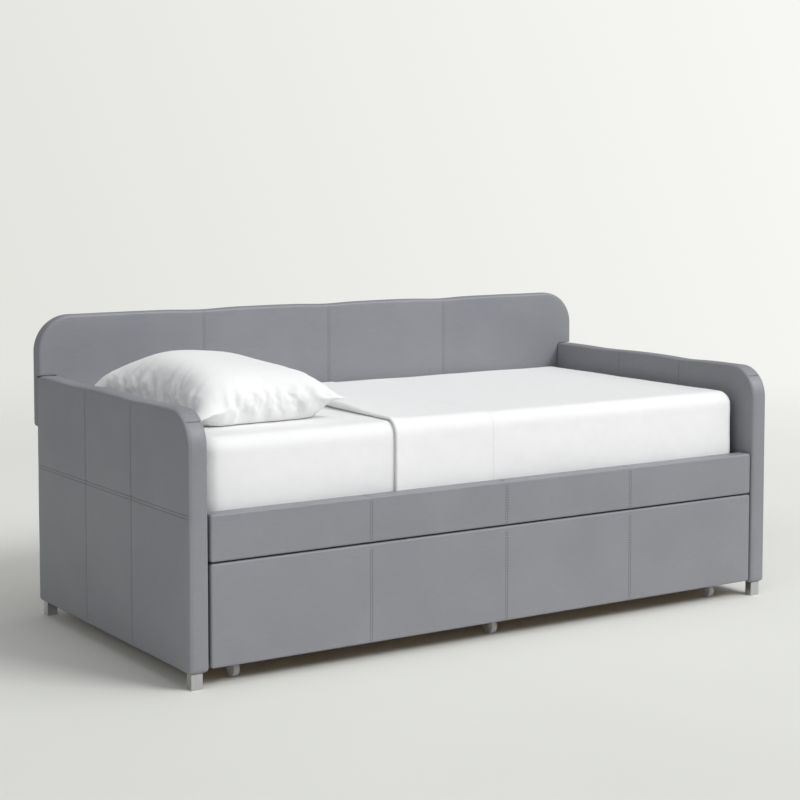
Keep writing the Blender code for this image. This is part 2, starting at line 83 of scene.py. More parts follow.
# ---- studio ----
FLOOR_TONE = (0.753, 0.758, 0.721)
VIEW_FLAT = (0.545, 0.838, 0.0)  # the camera's direction over the floor, rounded
AMBIENT = 0.29
LIT_POINT = Vector((0.0, 0.0, 0.4))
LIGHTS = (  # name, azimuth, elevation, distance, size and power
    ("key", 33.0, 38.0, 28.0, (12.0, 8.6), 4700.0),
    ("side", 68.0, 28.0, 28.0, (12.8, 10.4), 1140.0),
    ("overhead", 57.0, 80.0, 20.0, (16.0, 16.0), 960.0),
    ("left_fill", -60.0, 30.0, 28.0, (16.0, 10.0), 1120.0),
)


# ------------------------------------------------------------------ small helpers


def smooth(x, low, high):
    """0 below low, 1 above high, and a soft step between."""
    t = np.clip((np.asarray(x, float) - low) / (high - low), 0.0, 1.0)
    return t * t * (3 - 2 * t)


def bell(x, width):
    """1 at nought, falling to nothing a few widths away."""
    return np.exp(-((np.asarray(x, float) / width) ** 2))


def waves(points, scale, seed, octaves=2):
    """Smooth noise between about -1 and 1 at each point."""
    shift = Vector((seed * 7.31, seed * 3.17, seed * 5.53))
    flat = np.asarray(points, float).reshape(-1, 3)
    total = np.zeros(len(flat))
    for octave in range(octaves):
        factor = 2.0**octave / scale
        total += [noise.noise(Vector(p) * factor + shift) / 2**octave for p in flat]
    return total.reshape(np.asarray(points).shape[:-1])


def lines(low, high, step, marks=(), soft=0.0, stops=()):
    """Grid coordinates from low to high: close together at the soft ends and round each mark."""
    fixed = {low, high, *stops}
    if soft:
        for k in range(1, 7):
            near = soft * (1 - math.cos(math.pi / 12 * k))
            fixed |= {low + near, high - near}
    for mark in marks:
        for offset in (0, 0.0009, 0.002, 0.0038, 0.008, 0.015):
            fixed |= {mark - offset, mark + offset}
    fixed = sorted(x for x in fixed if low <= x <= high)
    kept = [fixed[0]]
    for x in fixed[1:]:
        if x - kept[-1] > 0.00015:
            kept.append(x)
    kept[-1] = high
    out = []
    for a, b in zip(kept, kept[1:]):
        count = max(1, math.ceil((b - a) / step - 1e-6))
        out += [a + (b - a) * k / count for k in range(count)]
    return np.array([*out, high])


def mesh_object(name, points, faces, material, body):
    """A smooth-shaded piece that moves with a body."""
    mesh = bpy.data.meshes.new(name)
    mesh.from_pydata([tuple(p) for p in points], [], faces)
    mesh.validate()
    mesh.shade_smooth()
    mesh.materials.append(material)
    thing = bpy.data.objects.new(name, mesh)
    bpy.context.collection.objects.link(thing)
    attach(thing, body)
    return thing


def tube_faces(base, count):
    """Faces between a ring of count points, whose first is base, and the ring after it."""
    return [(base + k, base + (k + 1) % count, base + (k + 1) % count + count, base + k + count)
            for k in range(count)]


def face_out(thing):
    """Makes a closed mesh's normals point out."""
    bm = bmesh.new()
    bm.from_mesh(thing.data)
    bmesh.ops.recalc_face_normals(bm, faces=bm.faces)
    bm.to_mesh(thing.data)
    bm.free()


def mark_points(thing, name, values):
    """Gives every point of a mesh a number that its material can read."""
    layer = thing.data.attributes.new(name, "FLOAT", "POINT")
    layer.data.foreach_set("value", np.asarray(values, np.float32).ravel())


# ------------------------------------------------------------------ materials


class Tree:
    """A short way to write a node tree."""

    def __init__(self, tree):
        self.tree = tree

    def add(self, kind, inputs=None, **settings):
        node = self.tree.nodes.new(f"ShaderNode{kind}")
        for key, value in settings.items():
            setattr(node, key, value)
        for key, value in (inputs or {}).items():
            if isinstance(value, bpy.types.NodeSocket):
                self.tree.links.new(value, node.inputs[key])
            else:
                node.inputs[key].default_value = value
        return node

    def mix(self, factor, a, b, blend="MIX"):
        node = self.add("Mix", {0: factor}, data_type="RGBA", blend_type=blend)
        for index, value in ((6, a), (7, b)):
            if isinstance(value, bpy.types.NodeSocket):
                self.tree.links.new(value, node.inputs[index])
            else:
                node.inputs[index].default_value = (*value, 1.0)
        return node.outputs[2]

    def range(self, value, low, high, to_low=0.0, to_high=1.0):
        inputs = {0: value, 1: low, 2: high, 3: to_low, 4: to_high}
        return self.add("MapRange", inputs).outputs[0]


class Nodes(Tree):
    """A material's node tree."""

    def __init__(self, name, **values):
        self.material = bpy.data.materials.new(name)
        self.material.use_nodes = True
        super().__init__(self.material.node_tree)
        self.shader = self.tree.nodes["Principled BSDF"]
        for socket, value in values.items():
            self.shader.inputs[socket.replace("_", " ")].default_value = value

    def place(self, scale=(1, 1, 1)):
        where = self.add("TexCoord").outputs["Object"]
        return self.add("Mapping", {0: where, "Scale": scale}).outputs[0]

    def noise(self, where, scale, detail=3.0, roughness=0.5):
        inputs = {"Vector": where, "Scale": scale, "Detail": detail, "Roughness": roughness}
        return self.add("TexNoise", inputs).outputs["Fac"]

    def grain(self, where, scale, detail, distortion):
        inputs = {"Vector": where, "Scale": scale, "Detail": detail, "Distortion": distortion}
        return self.add("TexNoise", inputs).outputs["Fac"]

    def wave(self, where, scale, distortion, direction):
        inputs = {"Vector": where, "Scale": scale, "Distortion": distortion}
        return self.add("TexWave", inputs, bands_direction=direction).outputs["Fac"]

    def math(self, operation, a, b=0.0):
        return self.add("Math", {0: a, 1: b}, operation=operation).outputs[0]

    def scaled(self, tone, factor):
        """A tone made brighter or darker by a factor."""
        grey = self.add("CombineColor", {0: factor, 1: factor, 2: factor}).outputs[0]
        return self.mix(1.0, tone, grey, "MULTIPLY")

    def attribute(self, name):
        return self.add("Attribute", attribute_name=name).outputs["Fac"]

    def bump(self, height, distance, strength=1.0, under=None):
        inputs = {"Height": height, "Distance": distance, "Strength": strength}
        if under:
            inputs["Normal"] = under
        return self.add("Bump", inputs).outputs[0]

    def to(self, socket, value):
        self.tree.links.new(value, self.shader.inputs[socket])
        return self


def leather_material():
    """Smooth grey faux leather: fine pebble grain, faint tone changes, and painted shade in the seams'
    grooves.
    """
    n = Nodes("faux_leather", Coat_Weight=0.05, Coat_Roughness=0.35, Specular_IOR_Level=0.42)
    where = n.place()
    cells = n.add("TexVoronoi", {"Vector": where, "Scale": 620.0, "Randomness": 1.0}, feature="SMOOTH_F1")
    cells.inputs["Smoothness"].default_value = 0.6
    creases = n.noise(where, 240.0, 4.0, 0.6)
    cloudy = n.noise(where, 5.0, 3.0, 0.5)
    tone = n.mix(n.range(cloudy, 0.35, 0.65), (0.236, 0.241, 0.262), (0.252, 0.257, 0.278))
    pores = n.range(cells.outputs["Distance"], 0.0, 0.55, 0.90, 1.04)
    tone = n.scaled(tone, pores)
    level = n.noise(n.place((0.12, 0.12, 1.0)), 260.0, 3.0, 0.6)
    streak = n.range(level, 0.3, 0.7, 0.97, 1.03)
    tone = n.scaled(tone, streak)
    # Painted shade: the seams' grooves are darkened towards near-black by the amount marked on each point.
    seam = n.attribute("seam")
    tone = n.mix(n.range(seam, 0.0, 1.0, 0.0, 0.85), tone, (0.060, 0.062, 0.070))
    n.to("Base Color", tone)
    n.to("Roughness", n.range(creases, 0.3, 0.7, 0.44, 0.56))
    grain = n.bump(cells.outputs["Distance"], 0.00022, 0.55)
    drawn = n.bump(level, 0.00030, 0.20, under=grain)
    n.to("Normal", n.bump(creases, 0.00030, 0.35, under=drawn))
    return n.material


def thread_material():
    """Dark twisted sewing thread."""
    n = Nodes("thread", Roughness=0.7)
    where = n.place()
    twist = n.wave(where, 700.0, 2.0, "DIAGONAL")
    n.to("Base Color", n.mix(twist, (0.030, 0.031, 0.036), (0.055, 0.057, 0.064)))
    n.to("Normal", n.bump(twist, 0.0001, 0.5))
    return n.material


def cotton_material(name, light, shade, weave=900.0, fuzz=0.35):
    """White cotton: a close weave, a little lint, slight tone changes, and painted shade along marked seams
    and hems.
    """
    n = Nodes(name, Sheen_Weight=fuzz, Sheen_Roughness=0.45, Specular_IOR_Level=0.25)
    where = n.place()
    x_threads, y_threads, z_threads = (n.wave(where, weave, 0.6, axis) for axis in "XYZ")
    threads = n.math("ADD", n.math("ADD", x_threads, y_threads), z_threads)
    lint = n.noise(where, 260.0, 4.0, 0.65)
    cloudy = n.noise(where, 30.0, 4.0, 0.55)
    tone = n.mix(n.range(cloudy, 0.3, 0.7), light, shade)
    # Painted shade: a grey line where a seam or hem is marked on the mesh.
    n.to("Base Color", n.mix(n.range(n.attribute("seam"), 0.0, 1.0, 0.0, 0.5), tone, (0.42, 0.42, 0.43)))
    n.to("Roughness", n.range(lint, 0.3, 0.7, 0.82, 0.95))
    fine = n.bump(threads, 0.00012, 0.25)
    soft = n.bump(lint, 0.0006, 0.30, under=fine)
    n.to("Normal", n.bump(cloudy, 0.0012, 0.22, under=soft))
    return n.material


def wood_material(name, light, dark, along, ring=34.0, knots=False):
    """Planed wood: growth rings stretched along the board, with fine pores."""
    n = Nodes(name, Specular_IOR_Level=0.35)
    scale = {"X": (0.05, 1.0, 1.0), "Y": (1.0, 0.05, 1.0)}[along]
    where = n.place(scale)
    bend = n.noise(where, 5.0, 2.0, 0.5)
    rings = n.grain(where, ring, 3.0, 1.2)
    pores = n.noise(n.place([v if v == 1.0 else 0.02 for v in scale]), 900.0, 2.0, 0.6)
    tone = n.mix(n.range(rings, 0.35, 0.68), light, dark)
    shade = n.range(bend, 0.3, 0.7, 0.90, 1.06)
    tone = n.scaled(tone, shade)
    if knots:
        spots = n.add("TexVoronoi", {"Vector": where, "Scale": 3.2}, feature="F1").outputs["Distance"]
        tone = n.mix(n.range(spots, 0.05, 0.11, 0.85, 0.0), tone, (0.16, 0.08, 0.035))
    n.to("Base Color", tone)
    n.to("Roughness", n.range(pores, 0.3, 0.7, 0.55, 0.75))
    n.to("Normal", n.bump(pores, 0.0003, 0.35, under=n.bump(rings, 0.0004, 0.25)))
    return n.material


def chip_material():
    """Particle board: pressed chips of several browns."""
    n = Nodes("particle_board_chips", Specular_IOR_Level=0.3)
    where = n.place((1.0, 1.0, 1.6))
    chips = n.add("TexVoronoi", {"Vector": where, "Scale": 210.0, "Randomness": 1.0})
    tone = n.mix(n.range(chips.outputs["Color"], 0.1, 0.9), (0.30, 0.20, 0.115), (0.58, 0.43, 0.27))
    n.to("Base Color", tone)
    n.to("Roughness", n.range(chips.outputs["Distance"], 0.0, 0.8, 0.7, 0.9))
    n.to("Normal", n.bump(chips.outputs["Distance"], 0.0004, 0.5))
    return n.material


def plywood_material(name, along):
    """Birch plywood: long soft grain on its faces and thin plies on its edges."""
    n = Nodes(name, Specular_IOR_Level=0.35)
    where = n.place({"X": (0.06, 1.0, 1.0), "Y": (1.0, 0.06, 1.0)}[along])
    grain = n.grain(where, 26.0, 4.0, 0.9)
    tone = n.mix(n.range(grain, 0.35, 0.68), (0.58, 0.43, 0.27), (0.45, 0.31, 0.17))
    plies = n.wave(n.place(), 105.0, 0.4, "Z")
    normal = n.add("NewGeometry").outputs["Normal"]
    up = n.math("ABSOLUTE", n.add("SeparateXYZ", {0: normal}).outputs["Z"])
    edge = n.range(up, 0.2, 0.5, 0.30, 0.0)
    tone = n.mix(n.math("MULTIPLY", edge, plies), tone, (0.27, 0.16, 0.08))
    n.to("Base Color", tone)
    n.to("Roughness", n.range(grain, 0.3, 0.7, 0.55, 0.7))
    n.to("Normal", n.bump(grain, 0.0003, 0.3))
    return n.material


def steel_material(name, tone, rough, brush, scale):
    """Satin or zinc-plated steel: fine brush lines and slight smudges."""
    n = Nodes(name, Metallic=1.0)
    lay = n.noise(n.place(scale), brush, 3.0, 0.6)
    smudge = n.noise(n.place(), 45.0, 3.0, 0.55)
    bright = tuple(min(1.0, c * 1.12) for c in tone)
    n.to("Base Color", n.mix(n.range(lay, 0.3, 0.7), tone, bright))
    n.to("Roughness", n.range(smudge, 0.3, 0.7, rough - 0.05, rough + 0.07))
    n.to("Normal", n.bump(lay, 0.0001, 0.25))
    return n.material


def plastic_material():
    """Moulded grey nylon, scuffed by the floor."""
    n = Nodes("caster_nylon", Specular_IOR_Level=0.45)
    where = n.place()
    mould = n.noise(where, 420.0, 3.0, 0.6)
    scuff = n.noise(n.place((0.2, 1.0, 1.0)), 160.0, 4.0, 0.7)
    n.to("Base Color", n.mix(n.range(scuff, 0.45, 0.75), (0.56, 0.56, 0.57), (0.40, 0.40, 0.40)))
    n.to("Roughness", n.range(mould, 0.3, 0.7, 0.42, 0.6))
    n.to("Normal", n.bump(mould, 0.00015, 0.4))
    return n.material


def dust_cover_material():
    """Black non-woven cloth stapled over an underside."""
    n = Nodes("dust_cover_cloth", Specular_IOR_Level=0.2)
    where = n.place()
    dots = n.add("TexVoronoi", {"Vector": where, "Scale": 480.0, "Randomness": 0.25}).outputs["Distance"]
    fibre = n.noise(where, 900.0, 4.0, 0.7)
    n.to("Base Color", n.mix(n.range(fibre, 0.3, 0.7), (0.020, 0.020, 0.021), (0.045, 0.045, 0.047)))
    n.to("Roughness", n.range(dots, 0.0, 0.6, 0.75, 0.95))
    n.to("Normal", n.bump(dots, 0.0003, 0.5))
    return n.material


LEATHER = leather_material()
THREAD = thread_material()
SHEET = cotton_material("sheet_percale", (0.88, 0.88, 0.88), (0.86, 0.86, 0.86))
COVERLET = cotton_material("coverlet_cotton_weave", (0.88, 0.88, 0.88), (0.86, 0.86, 0.86), 620.0, 0.3)
PILLOWCASE = cotton_material("pillowcase_percale", (0.875, 0.875, 0.875), (0.86, 0.86, 0.86), 1000.0, 0.2)
TICKING = cotton_material("mattress_ticking", (0.80, 0.79, 0.76), (0.72, 0.71, 0.68), 380.0, 0.25)
DUST = dust_cover_material()
CHIPBOARD = chip_material()
NYLON = plastic_material()
ZINC = steel_material("zinc_plate", (0.60, 0.61, 0.63), 0.34, 160.0, (1.0, 1.0, 1.0))


# ------------------------------------------------------------------ padded boards


class PaddedBoard:
    """A board wrapped in padding and leather: two faces with soft edges and a band round them.

    normal is the axis across the board. u and v are the other two axes in X, Y, Z order. face_high is
    the face at the far end of the normal axis, and relief and band_relief move the surface outwards.
    """

    AXES = {"X": (1, 2, 0), "Y": (0, 2, 1), "Z": (0, 1, 2)}

    def __init__(self, low, high, normal, radii, soft=(SOFT, SOFT), u_marks=(), v_marks=(), w_marks=(),
                 step=0.014):
        self.axes = self.AXES[normal]
        au, av, aw = self.axes
        self.u = (low[au], high[au])
        self.v = (low[av], high[av])
        self.w = (low[aw], high[aw])
        self.radii = radii  # at (low u, low v), (high u, low v), (high u, high v), (low u, high v)
        self.soft = soft  # of the low face and the high face
        r = radii
        rim = max(soft)
        u_stops = (self.u[0] + r[0], self.u[0] + r[3], self.u[1] - r[1], self.u[1] - r[2])
        v_stops = (self.v[0] + r[0], self.v[1] - r[3], self.v[0] + r[1], self.v[1] - r[2])
        self.us = lines(*self.u, step, u_marks, rim, u_stops)
        self.vs = lines(*self.v, step, v_marks, rim, v_stops)
        self.ws = lines(self.w[0] + soft[0], self.w[1] - soft[1], step, w_marks)
        self.relief = {"low": lambda u, v, d: 0 * u, "high": lambda u, v, d: 0 * u}
        self.band_relief = lambda p, w: 0 * w
        self.high_plane = lambda u, v: 0 * u + self.w[1]
        self.bend = lambda p: p
        self.seam = lambda p, on_band: np.zeros(p.shape[:-1])  # how much painted shade a seam's groove puts on each point

    def corner(self, u, v):
        """Which corner's square holds each point, with its centre, radius and signs."""
        for k, (su, sv) in enumerate(((-1, -1), (1, -1), (1, 1), (-1, 1))):
            r = self.radii[k]
            cu = (self.u[0] + r) if su < 0 else (self.u[1] - r)
            cv = (self.v[0] + r) if sv < 0 else (self.v[1] - r)
            inside = ((u - cu) * su > 0) & ((v - cv) * sv > 0)
            yield inside, cu, cv, r, su, sv

    def rounded(self, u, v):
        """Moves points of the square corners into the round ones."""
        new_u, new_v = u.copy(), v.copy()
        for inside, cu, cv, r, su, sv in self.corner(u, v):
            a = np.abs(u - cu) / r
            b = np.abs(v - cv) / r
            new_u = np.where(inside, cu + su * r * a * np.sqrt(np.clip(1 - b * b / 2, 0, 1)), new_u)
            new_v = np.where(inside, cv + sv * r * b * np.sqrt(np.clip(1 - a * a / 2, 0, 1)), new_v)
        return new_u, new_v

    def to_edge(self, u, v):
        """Distance in from the outline."""
        d = np.minimum(np.minimum(u - self.u[0], self.u[1] - u), np.minimum(v - self.v[0], self.v[1] - v))
        for inside, cu, cv, r, _, _ in self.corner(u, v):
            d = np.where(inside, r - np.hypot(u - cu, v - cv), d)
        return np.maximum(d, 0.0)

    def outward(self, u, v):
        """Direction out of the outline, for points on it."""
        left, right = u - self.u[0], self.u[1] - u
        down, up = v - self.v[0], self.v[1] - v
        nearest = np.minimum(np.minimum(left, right), np.minimum(down, up))
        nu = np.where(nearest == left, -1.0, np.where(nearest == right, 1.0, 0.0))
        nv = np.where(nu != 0, 0.0, np.where(nearest == down, -1.0, 1.0))
        for inside, cu, cv, r, _, _ in self.corner(u, v):
            length = np.maximum(np.hypot(u - cu, v - cv), 1e-9)
            nu = np.where(inside, (u - cu) / length, nu)
            nv = np.where(inside, (v - cv) / length, nv)
        return nu, nv

    def point(self, u, v, w):
        """World points from u, v and w."""
        out = np.zeros((*np.shape(u), 3))
        for axis, value in zip(self.axes, (u, v, w)):
            out[..., axis] = value
        return out

    def face_point(self, u, v, side, lift=0.0):
        """A point on one face's finished surface."""
        u, v = np.asarray(u, float), np.asarray(v, float)
        d = self.to_edge(u, v)
        r = self.soft[0] if side == "low" else self.soft[1]
        drop = np.where(d < r, r - np.sqrt(np.maximum(r * r - (r - np.minimum(d, r)) ** 2, 0)), 0.0)
        up = self.relief[side](u, v, d) * smooth(d, 0.0, r) - drop + lift
        plane = self.w[0] if side == "low" else self.high_plane(u, v)
        return self.bend(self.point(u, v, plane - up if side == "low" else plane + up))

    def rim(self):
        """Grid places round the outline, in order."""
        nu, nv = len(self.us), len(self.vs)
        ring = [(i, 0) for i in range(nu)] + [(nu - 1, j) for j in range(1, nv)]
        ring += [(i, nv - 1) for i in range(nu - 2, -1, -1)] + [(0, j) for j in range(nv - 2, 0, -1)]
        return ring

    def build(self, name, material, body, keep=("low", "high", "band"), low_ring=None):
        """The closed mesh. low_ring keeps only that much of the low face, in from its edge."""
        grid_u, grid_v = self.rounded(*np.meshgrid(self.us, self.vs, indexing="ij"))
        nu, nv = grid_u.shape
        points, faces, painted_seam_shades = [], [], []
        index = {}
        for side in ("low", "high"):
            if side not in keep and not low_ring:
                continue
            place = self.face_point(grid_u, grid_v, side)
            index[side] = np.arange(nu * nv).reshape(nu, nv) + sum(len(p) for p in points)
            points.append(place.reshape(-1, 3))
            painted_seam_shades.append(self.seam(place, False).reshape(-1))
            inner = self.to_edge(grid_u, grid_v)
            ids = index[side]
            for i in range(nu - 1):
                for j in range(nv - 1):
                    if side == "low" and low_ring and inner[i : i + 2, j : j + 2].max() > low_ring:
                        continue
                    quad = (ids[i, j], ids[i + 1, j], ids[i + 1, j + 1], ids[i, j + 1])
                    faces.append(tuple(int(k) for k in (quad if side == "high" else quad[::-1])))
        if "band" in keep:
            ring = self.rim()
            ring_u = np.array([grid_u[i, j] for i, j in ring])
            ring_v = np.array([grid_v[i, j] for i, j in ring])
            out_u, out_v = self.outward(ring_u, ring_v)
            top = self.high_plane(ring_u, ring_v) - self.soft[1]
            bottom = self.w[0] + self.soft[0]
            rows = []
            for k, w in enumerate(self.ws):
                share = (w - self.ws[0]) / (self.ws[-1] - self.ws[0])
                if k == 0 and "low" in index:
                    rows.append([int(index["low"][i, j]) for i, j in ring])
                    continue
                if k == len(self.ws) - 1 and "high" in index:
                    rows.append([int(index["high"][i, j]) for i, j in ring])
                    continue
                here = bottom + (top - bottom) * share
                flat = self.point(ring_u, ring_v, here)
                push = self.band_relief(flat, here) * smooth(share, 0, 0.04) * smooth(1 - share, 0, 0.04)
                place = self.bend(self.point(ring_u + out_u * push, ring_v + out_v * push, here))
                base = sum(len(p) for p in points)
                points.append(place)
                painted_seam_shades.append(self.seam(place, True))
                rows.append(list(range(base, base + len(ring))))
            for low_row, high_row in zip(rows, rows[1:]):
                for k in range(len(ring)):
                    m = (k + 1) % len(ring)
                    faces.append((low_row[k], low_row[m], high_row[m], high_row[k]))
        thing = mesh_object(name, np.concatenate(points), faces, material, body)
        # Each point's painted seam shade, for its material to read.
        mark_points(thing, "seam", np.concatenate(painted_seam_shades))
        loose = bmesh.new()
        loose.from_mesh(thing.data)
        bmesh.ops.delete(loose, geom=[v for v in loose.verts if not v.link_faces], context="VERTS")
        bmesh.ops.recalc_face_normals(loose, faces=loose.faces)
        loose.to_mesh(thing.data)
        loose.free()
        return thing


def seam_dip(distance, puff=0.0009, reach=0.016, groove=0.0007):
    """Height beside a seam: the padding is drawn down towards it, and the seam itself is a groove."""
    distance = np.abs(distance)
    return -puff * np.exp(-distance / reach) - groove * bell(distance, 0.0012)


def pucker(along, distance, seed, size=0.00022):
    """Short gathers across a seam, fading away from it."""
    beat = np.sin(along * 2 * math.pi / 0.0235 + 1.7 * np.sin(along * 31 + seed)) * 0.6
    beat += np.sin(along * 2 * math.pi / 0.0137 + seed) * 0.4
    return size * beat * np.exp(-np.abs(distance) / 0.012)


def hide(wave_points, seed, amount=0.0005, scale=0.16):
    """The slow unevenness of a hide over foam."""
    return amount * waves(wave_points, scale, seed, 2)


def under_cloth(cover, inside):
    """Gives the hidden faces of a cover their black dust cloth."""
    cover.data.materials.append(DUST)
    for face in cover.data.polygons:
        if inside(face.center):
            face.material_index = 1


def tighter(corners):
    """The corner radii of the board inside a cover."""
    return tuple(radius - PADDING for radius in corners)


def make_core(board, node, body=BED):
    """The sawn board inside an upholstered part."""
    core = board.build(f"{node}_board", CHIPBOARD, body)
    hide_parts(node)


class Stitches:
    """Rows of thread, gathered into one mesh."""

    SIDES = 6

    def __init__(self, name, body, scale=1.0):
        self.name = name
        self.body = body
        self.pitch = STITCH_PITCH * scale
        self.length = STITCH_LENGTH * scale
        self.radius = STITCH_RADIUS * scale
        self.points = []
        self.faces = []

    def one(self, centre, along, out):
        """One stitch: a short rounded bar that dips into the cover at both ends."""
        along = along / np.linalg.norm(along)
        out = out / np.linalg.norm(out)
        side = np.cross(along, out)
        rings = ((-0.5, -0.9, 0.55), (-0.3, 0.0, 1.0), (0.3, 0.0, 1.0), (0.5, -0.9, 0.55))
        base = len(self.points)
        for reach, sink, size in rings:
            middle = centre + along * self.length * reach + out * self.radius * sink
            for k in range(self.SIDES):
                turn = math.tau * k / self.SIDES
                spoke = side * math.cos(turn) + out * math.sin(turn)
                self.points.append(middle + spoke * self.radius * size)
        for ring in range(len(rings) - 1):
            self.faces += tube_faces(base + ring * self.SIDES, self.SIDES)
        self.faces.append(tuple(base + k for k in reversed(range(self.SIDES))))
        last = base + (len(rings) - 1) * self.SIDES
        self.faces.append(tuple(last + k for k in range(self.SIDES)))

    def row(self, place, start, end, out):
        """Stitches from start to end along a line. place(t) gives the point at distance t."""
        count = int((end - start) / self.pitch)
        for k in range(count):
            t = start + (k + 0.5) * self.pitch
            here = place(t)
            ahead = place(t + 0.001)
            self.one(here, ahead - here, np.asarray(out, float))

    def build(self):
        thing = mesh_object(self.name, self.points, self.faces, THREAD, self.body)
        face_out(thing)
        return thing


# ------------------------------------------------------------------ arms


def arm_height_wave(y_from_front):
    """The top line of an arm: drawn down a little at each seam."""
    y = y_from_front
    drawn = 0.0034 * bell(y - ARM_SEAMS[0], 0.075) + 0.0026 * bell(y - 0.80, 0.10)
    return 0.0008 * bell(y - 0.58, 0.08) - drawn


def make_arm(side):
    """A padded arm with a band round its edge, seams on both faces and stitches along them."""
    node = f"{side}_arm_cover"
    low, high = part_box(node)
    seams_y = [low.y + y for y in ARM_SEAMS]
    thick = high.x - low.x
    board = PaddedBoard(
        low, high, "X", ARM_CORNERS, (SOFT, SOFT),
        u_marks=seams_y,
        v_marks=(*(ARM_CROSS_SEAM + offset for offset in CROSS_ROWS), low.z + BAND_JOIN),
        w_marks=(low.x + GUSSET + 0.0014, high.x - GUSSET - 0.0014),
    )
    seed = 11 if side == "left" else 12

    def face(outer):
        def relief(y, z, d):
            up = 0.0016 * smooth(d, 0.0, 0.05)
            for k, seam_y in enumerate(seams_y):
                up = up + seam_dip(y - seam_y) + pucker(z, y - seam_y, seed + k)
            for offset in CROSS_ROWS:
                up = up + seam_dip(z - ARM_CROSS_SEAM - offset, 0.0003, 0.012, 0.0004)
            up = up + pucker(y, z - ARM_CROSS_SEAM, seed + 5, 0.00015)
            there = np.stack([0 * y + outer * 0.5, y, z], -1)
            return up + hide(there, seed)
        return relief

    board.relief = {"low": face(-1), "high": face(1)}
    groove = thick / 2 - GUSSET

    def at_front(points):
        return (points[..., 1] < low.y + 0.2).astype(float)

    def band(points, w):
        """Fuller between its two seams."""
        middle = (low.x + high.x) / 2
        from_middle = np.abs(points[..., 0] - middle)
        full = 0.0012 * (1 - (from_middle / (thick / 2)) ** 2)
        cut = seam_dip(from_middle - groove, 0.0006, 0.005, 0.0010)
        join = seam_dip(points[..., 2] - low.z - BAND_JOIN, 0.0005, 0.008, 0.0010) * at_front(points)
        return full + cut + join + hide(points, seed + 3, 0.0004, 0.12)

    board.band_relief = band
    top = high.z

    def bend(points):
        out = points.copy()
        rise = smooth(out[..., 2], top - 0.25, top)
        out[..., 2] += arm_height_wave(out[..., 1] - low.y) * rise
        return out

    board.bend = bend

    # Painted shade: darker in the grooves of the band's seams, at the band's join near the front and along
    # the seams on both faces.
    def seam(points, on_band):
        y, z = points[..., 1], points[..., 2]
        if on_band:
            from_middle = np.abs(points[..., 0] - (low.x + high.x) / 2)
            join = bell(z - low.z - BAND_JOIN, 0.0016) * at_front(points) * (from_middle < groove)
            return np.maximum(0.60 * bell(from_middle - groove, BAND_SEAM_SHADE_WIDTH), join)
        mark = np.zeros(y.shape)
        for seam_y in seams_y:
            mark = np.maximum(mark, 0.29 * bell(y - seam_y, FACE_SEAM_SHADE_WIDTH))
        for offset in CROSS_ROWS:
            mark = np.maximum(mark, 0.20 * bell(z - ARM_CROSS_SEAM - offset, FACE_SEAM_SHADE_WIDTH))
        return mark

    board.seam = seam
    cover = board.build(f"{side}_arm_upholstery", LEATHER, BED)
    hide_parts(node)

    core_low, core_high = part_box(f"{side}_arm_core")
    core_low.z = low.z + PADDING
    under_cloth(cover, lambda p: p.z < low.z + 0.0005 and abs(p.x - (low.x + high.x) / 2) < groove - 0.004)
    inner = PaddedBoard(core_low, core_high, "X", tighter(ARM_CORNERS), (0.001, 0.001), step=0.04)
    inner.bend = bend
    make_core(inner, f"{side}_arm_core")

    rows = Stitches(f"{side}_arm_stitching", BED, FINE_STITCH)
    for face_name, out in (("low", (-1, 0, 0)), ("high", (1, 0, 0))):
        for seam_y in seams_y:
            def upright(t, seam_y=seam_y):
                return board.face_point(seam_y + TOPSTITCH, t, face_name, THREAD_SINK)
            rows.row(upright, low.z + 0.012, top - 0.014, out)
        for offset in CROSS_ROWS:
            def across(t, offset=offset):
                return board.face_point(t, ARM_CROSS_SEAM + offset, face_name, THREAD_SINK)
            rows.row(across, low.y + 0.012, high.y - 0.012, out)
    rows.build()


# ------------------------------------------------------------------ rail and trundle front


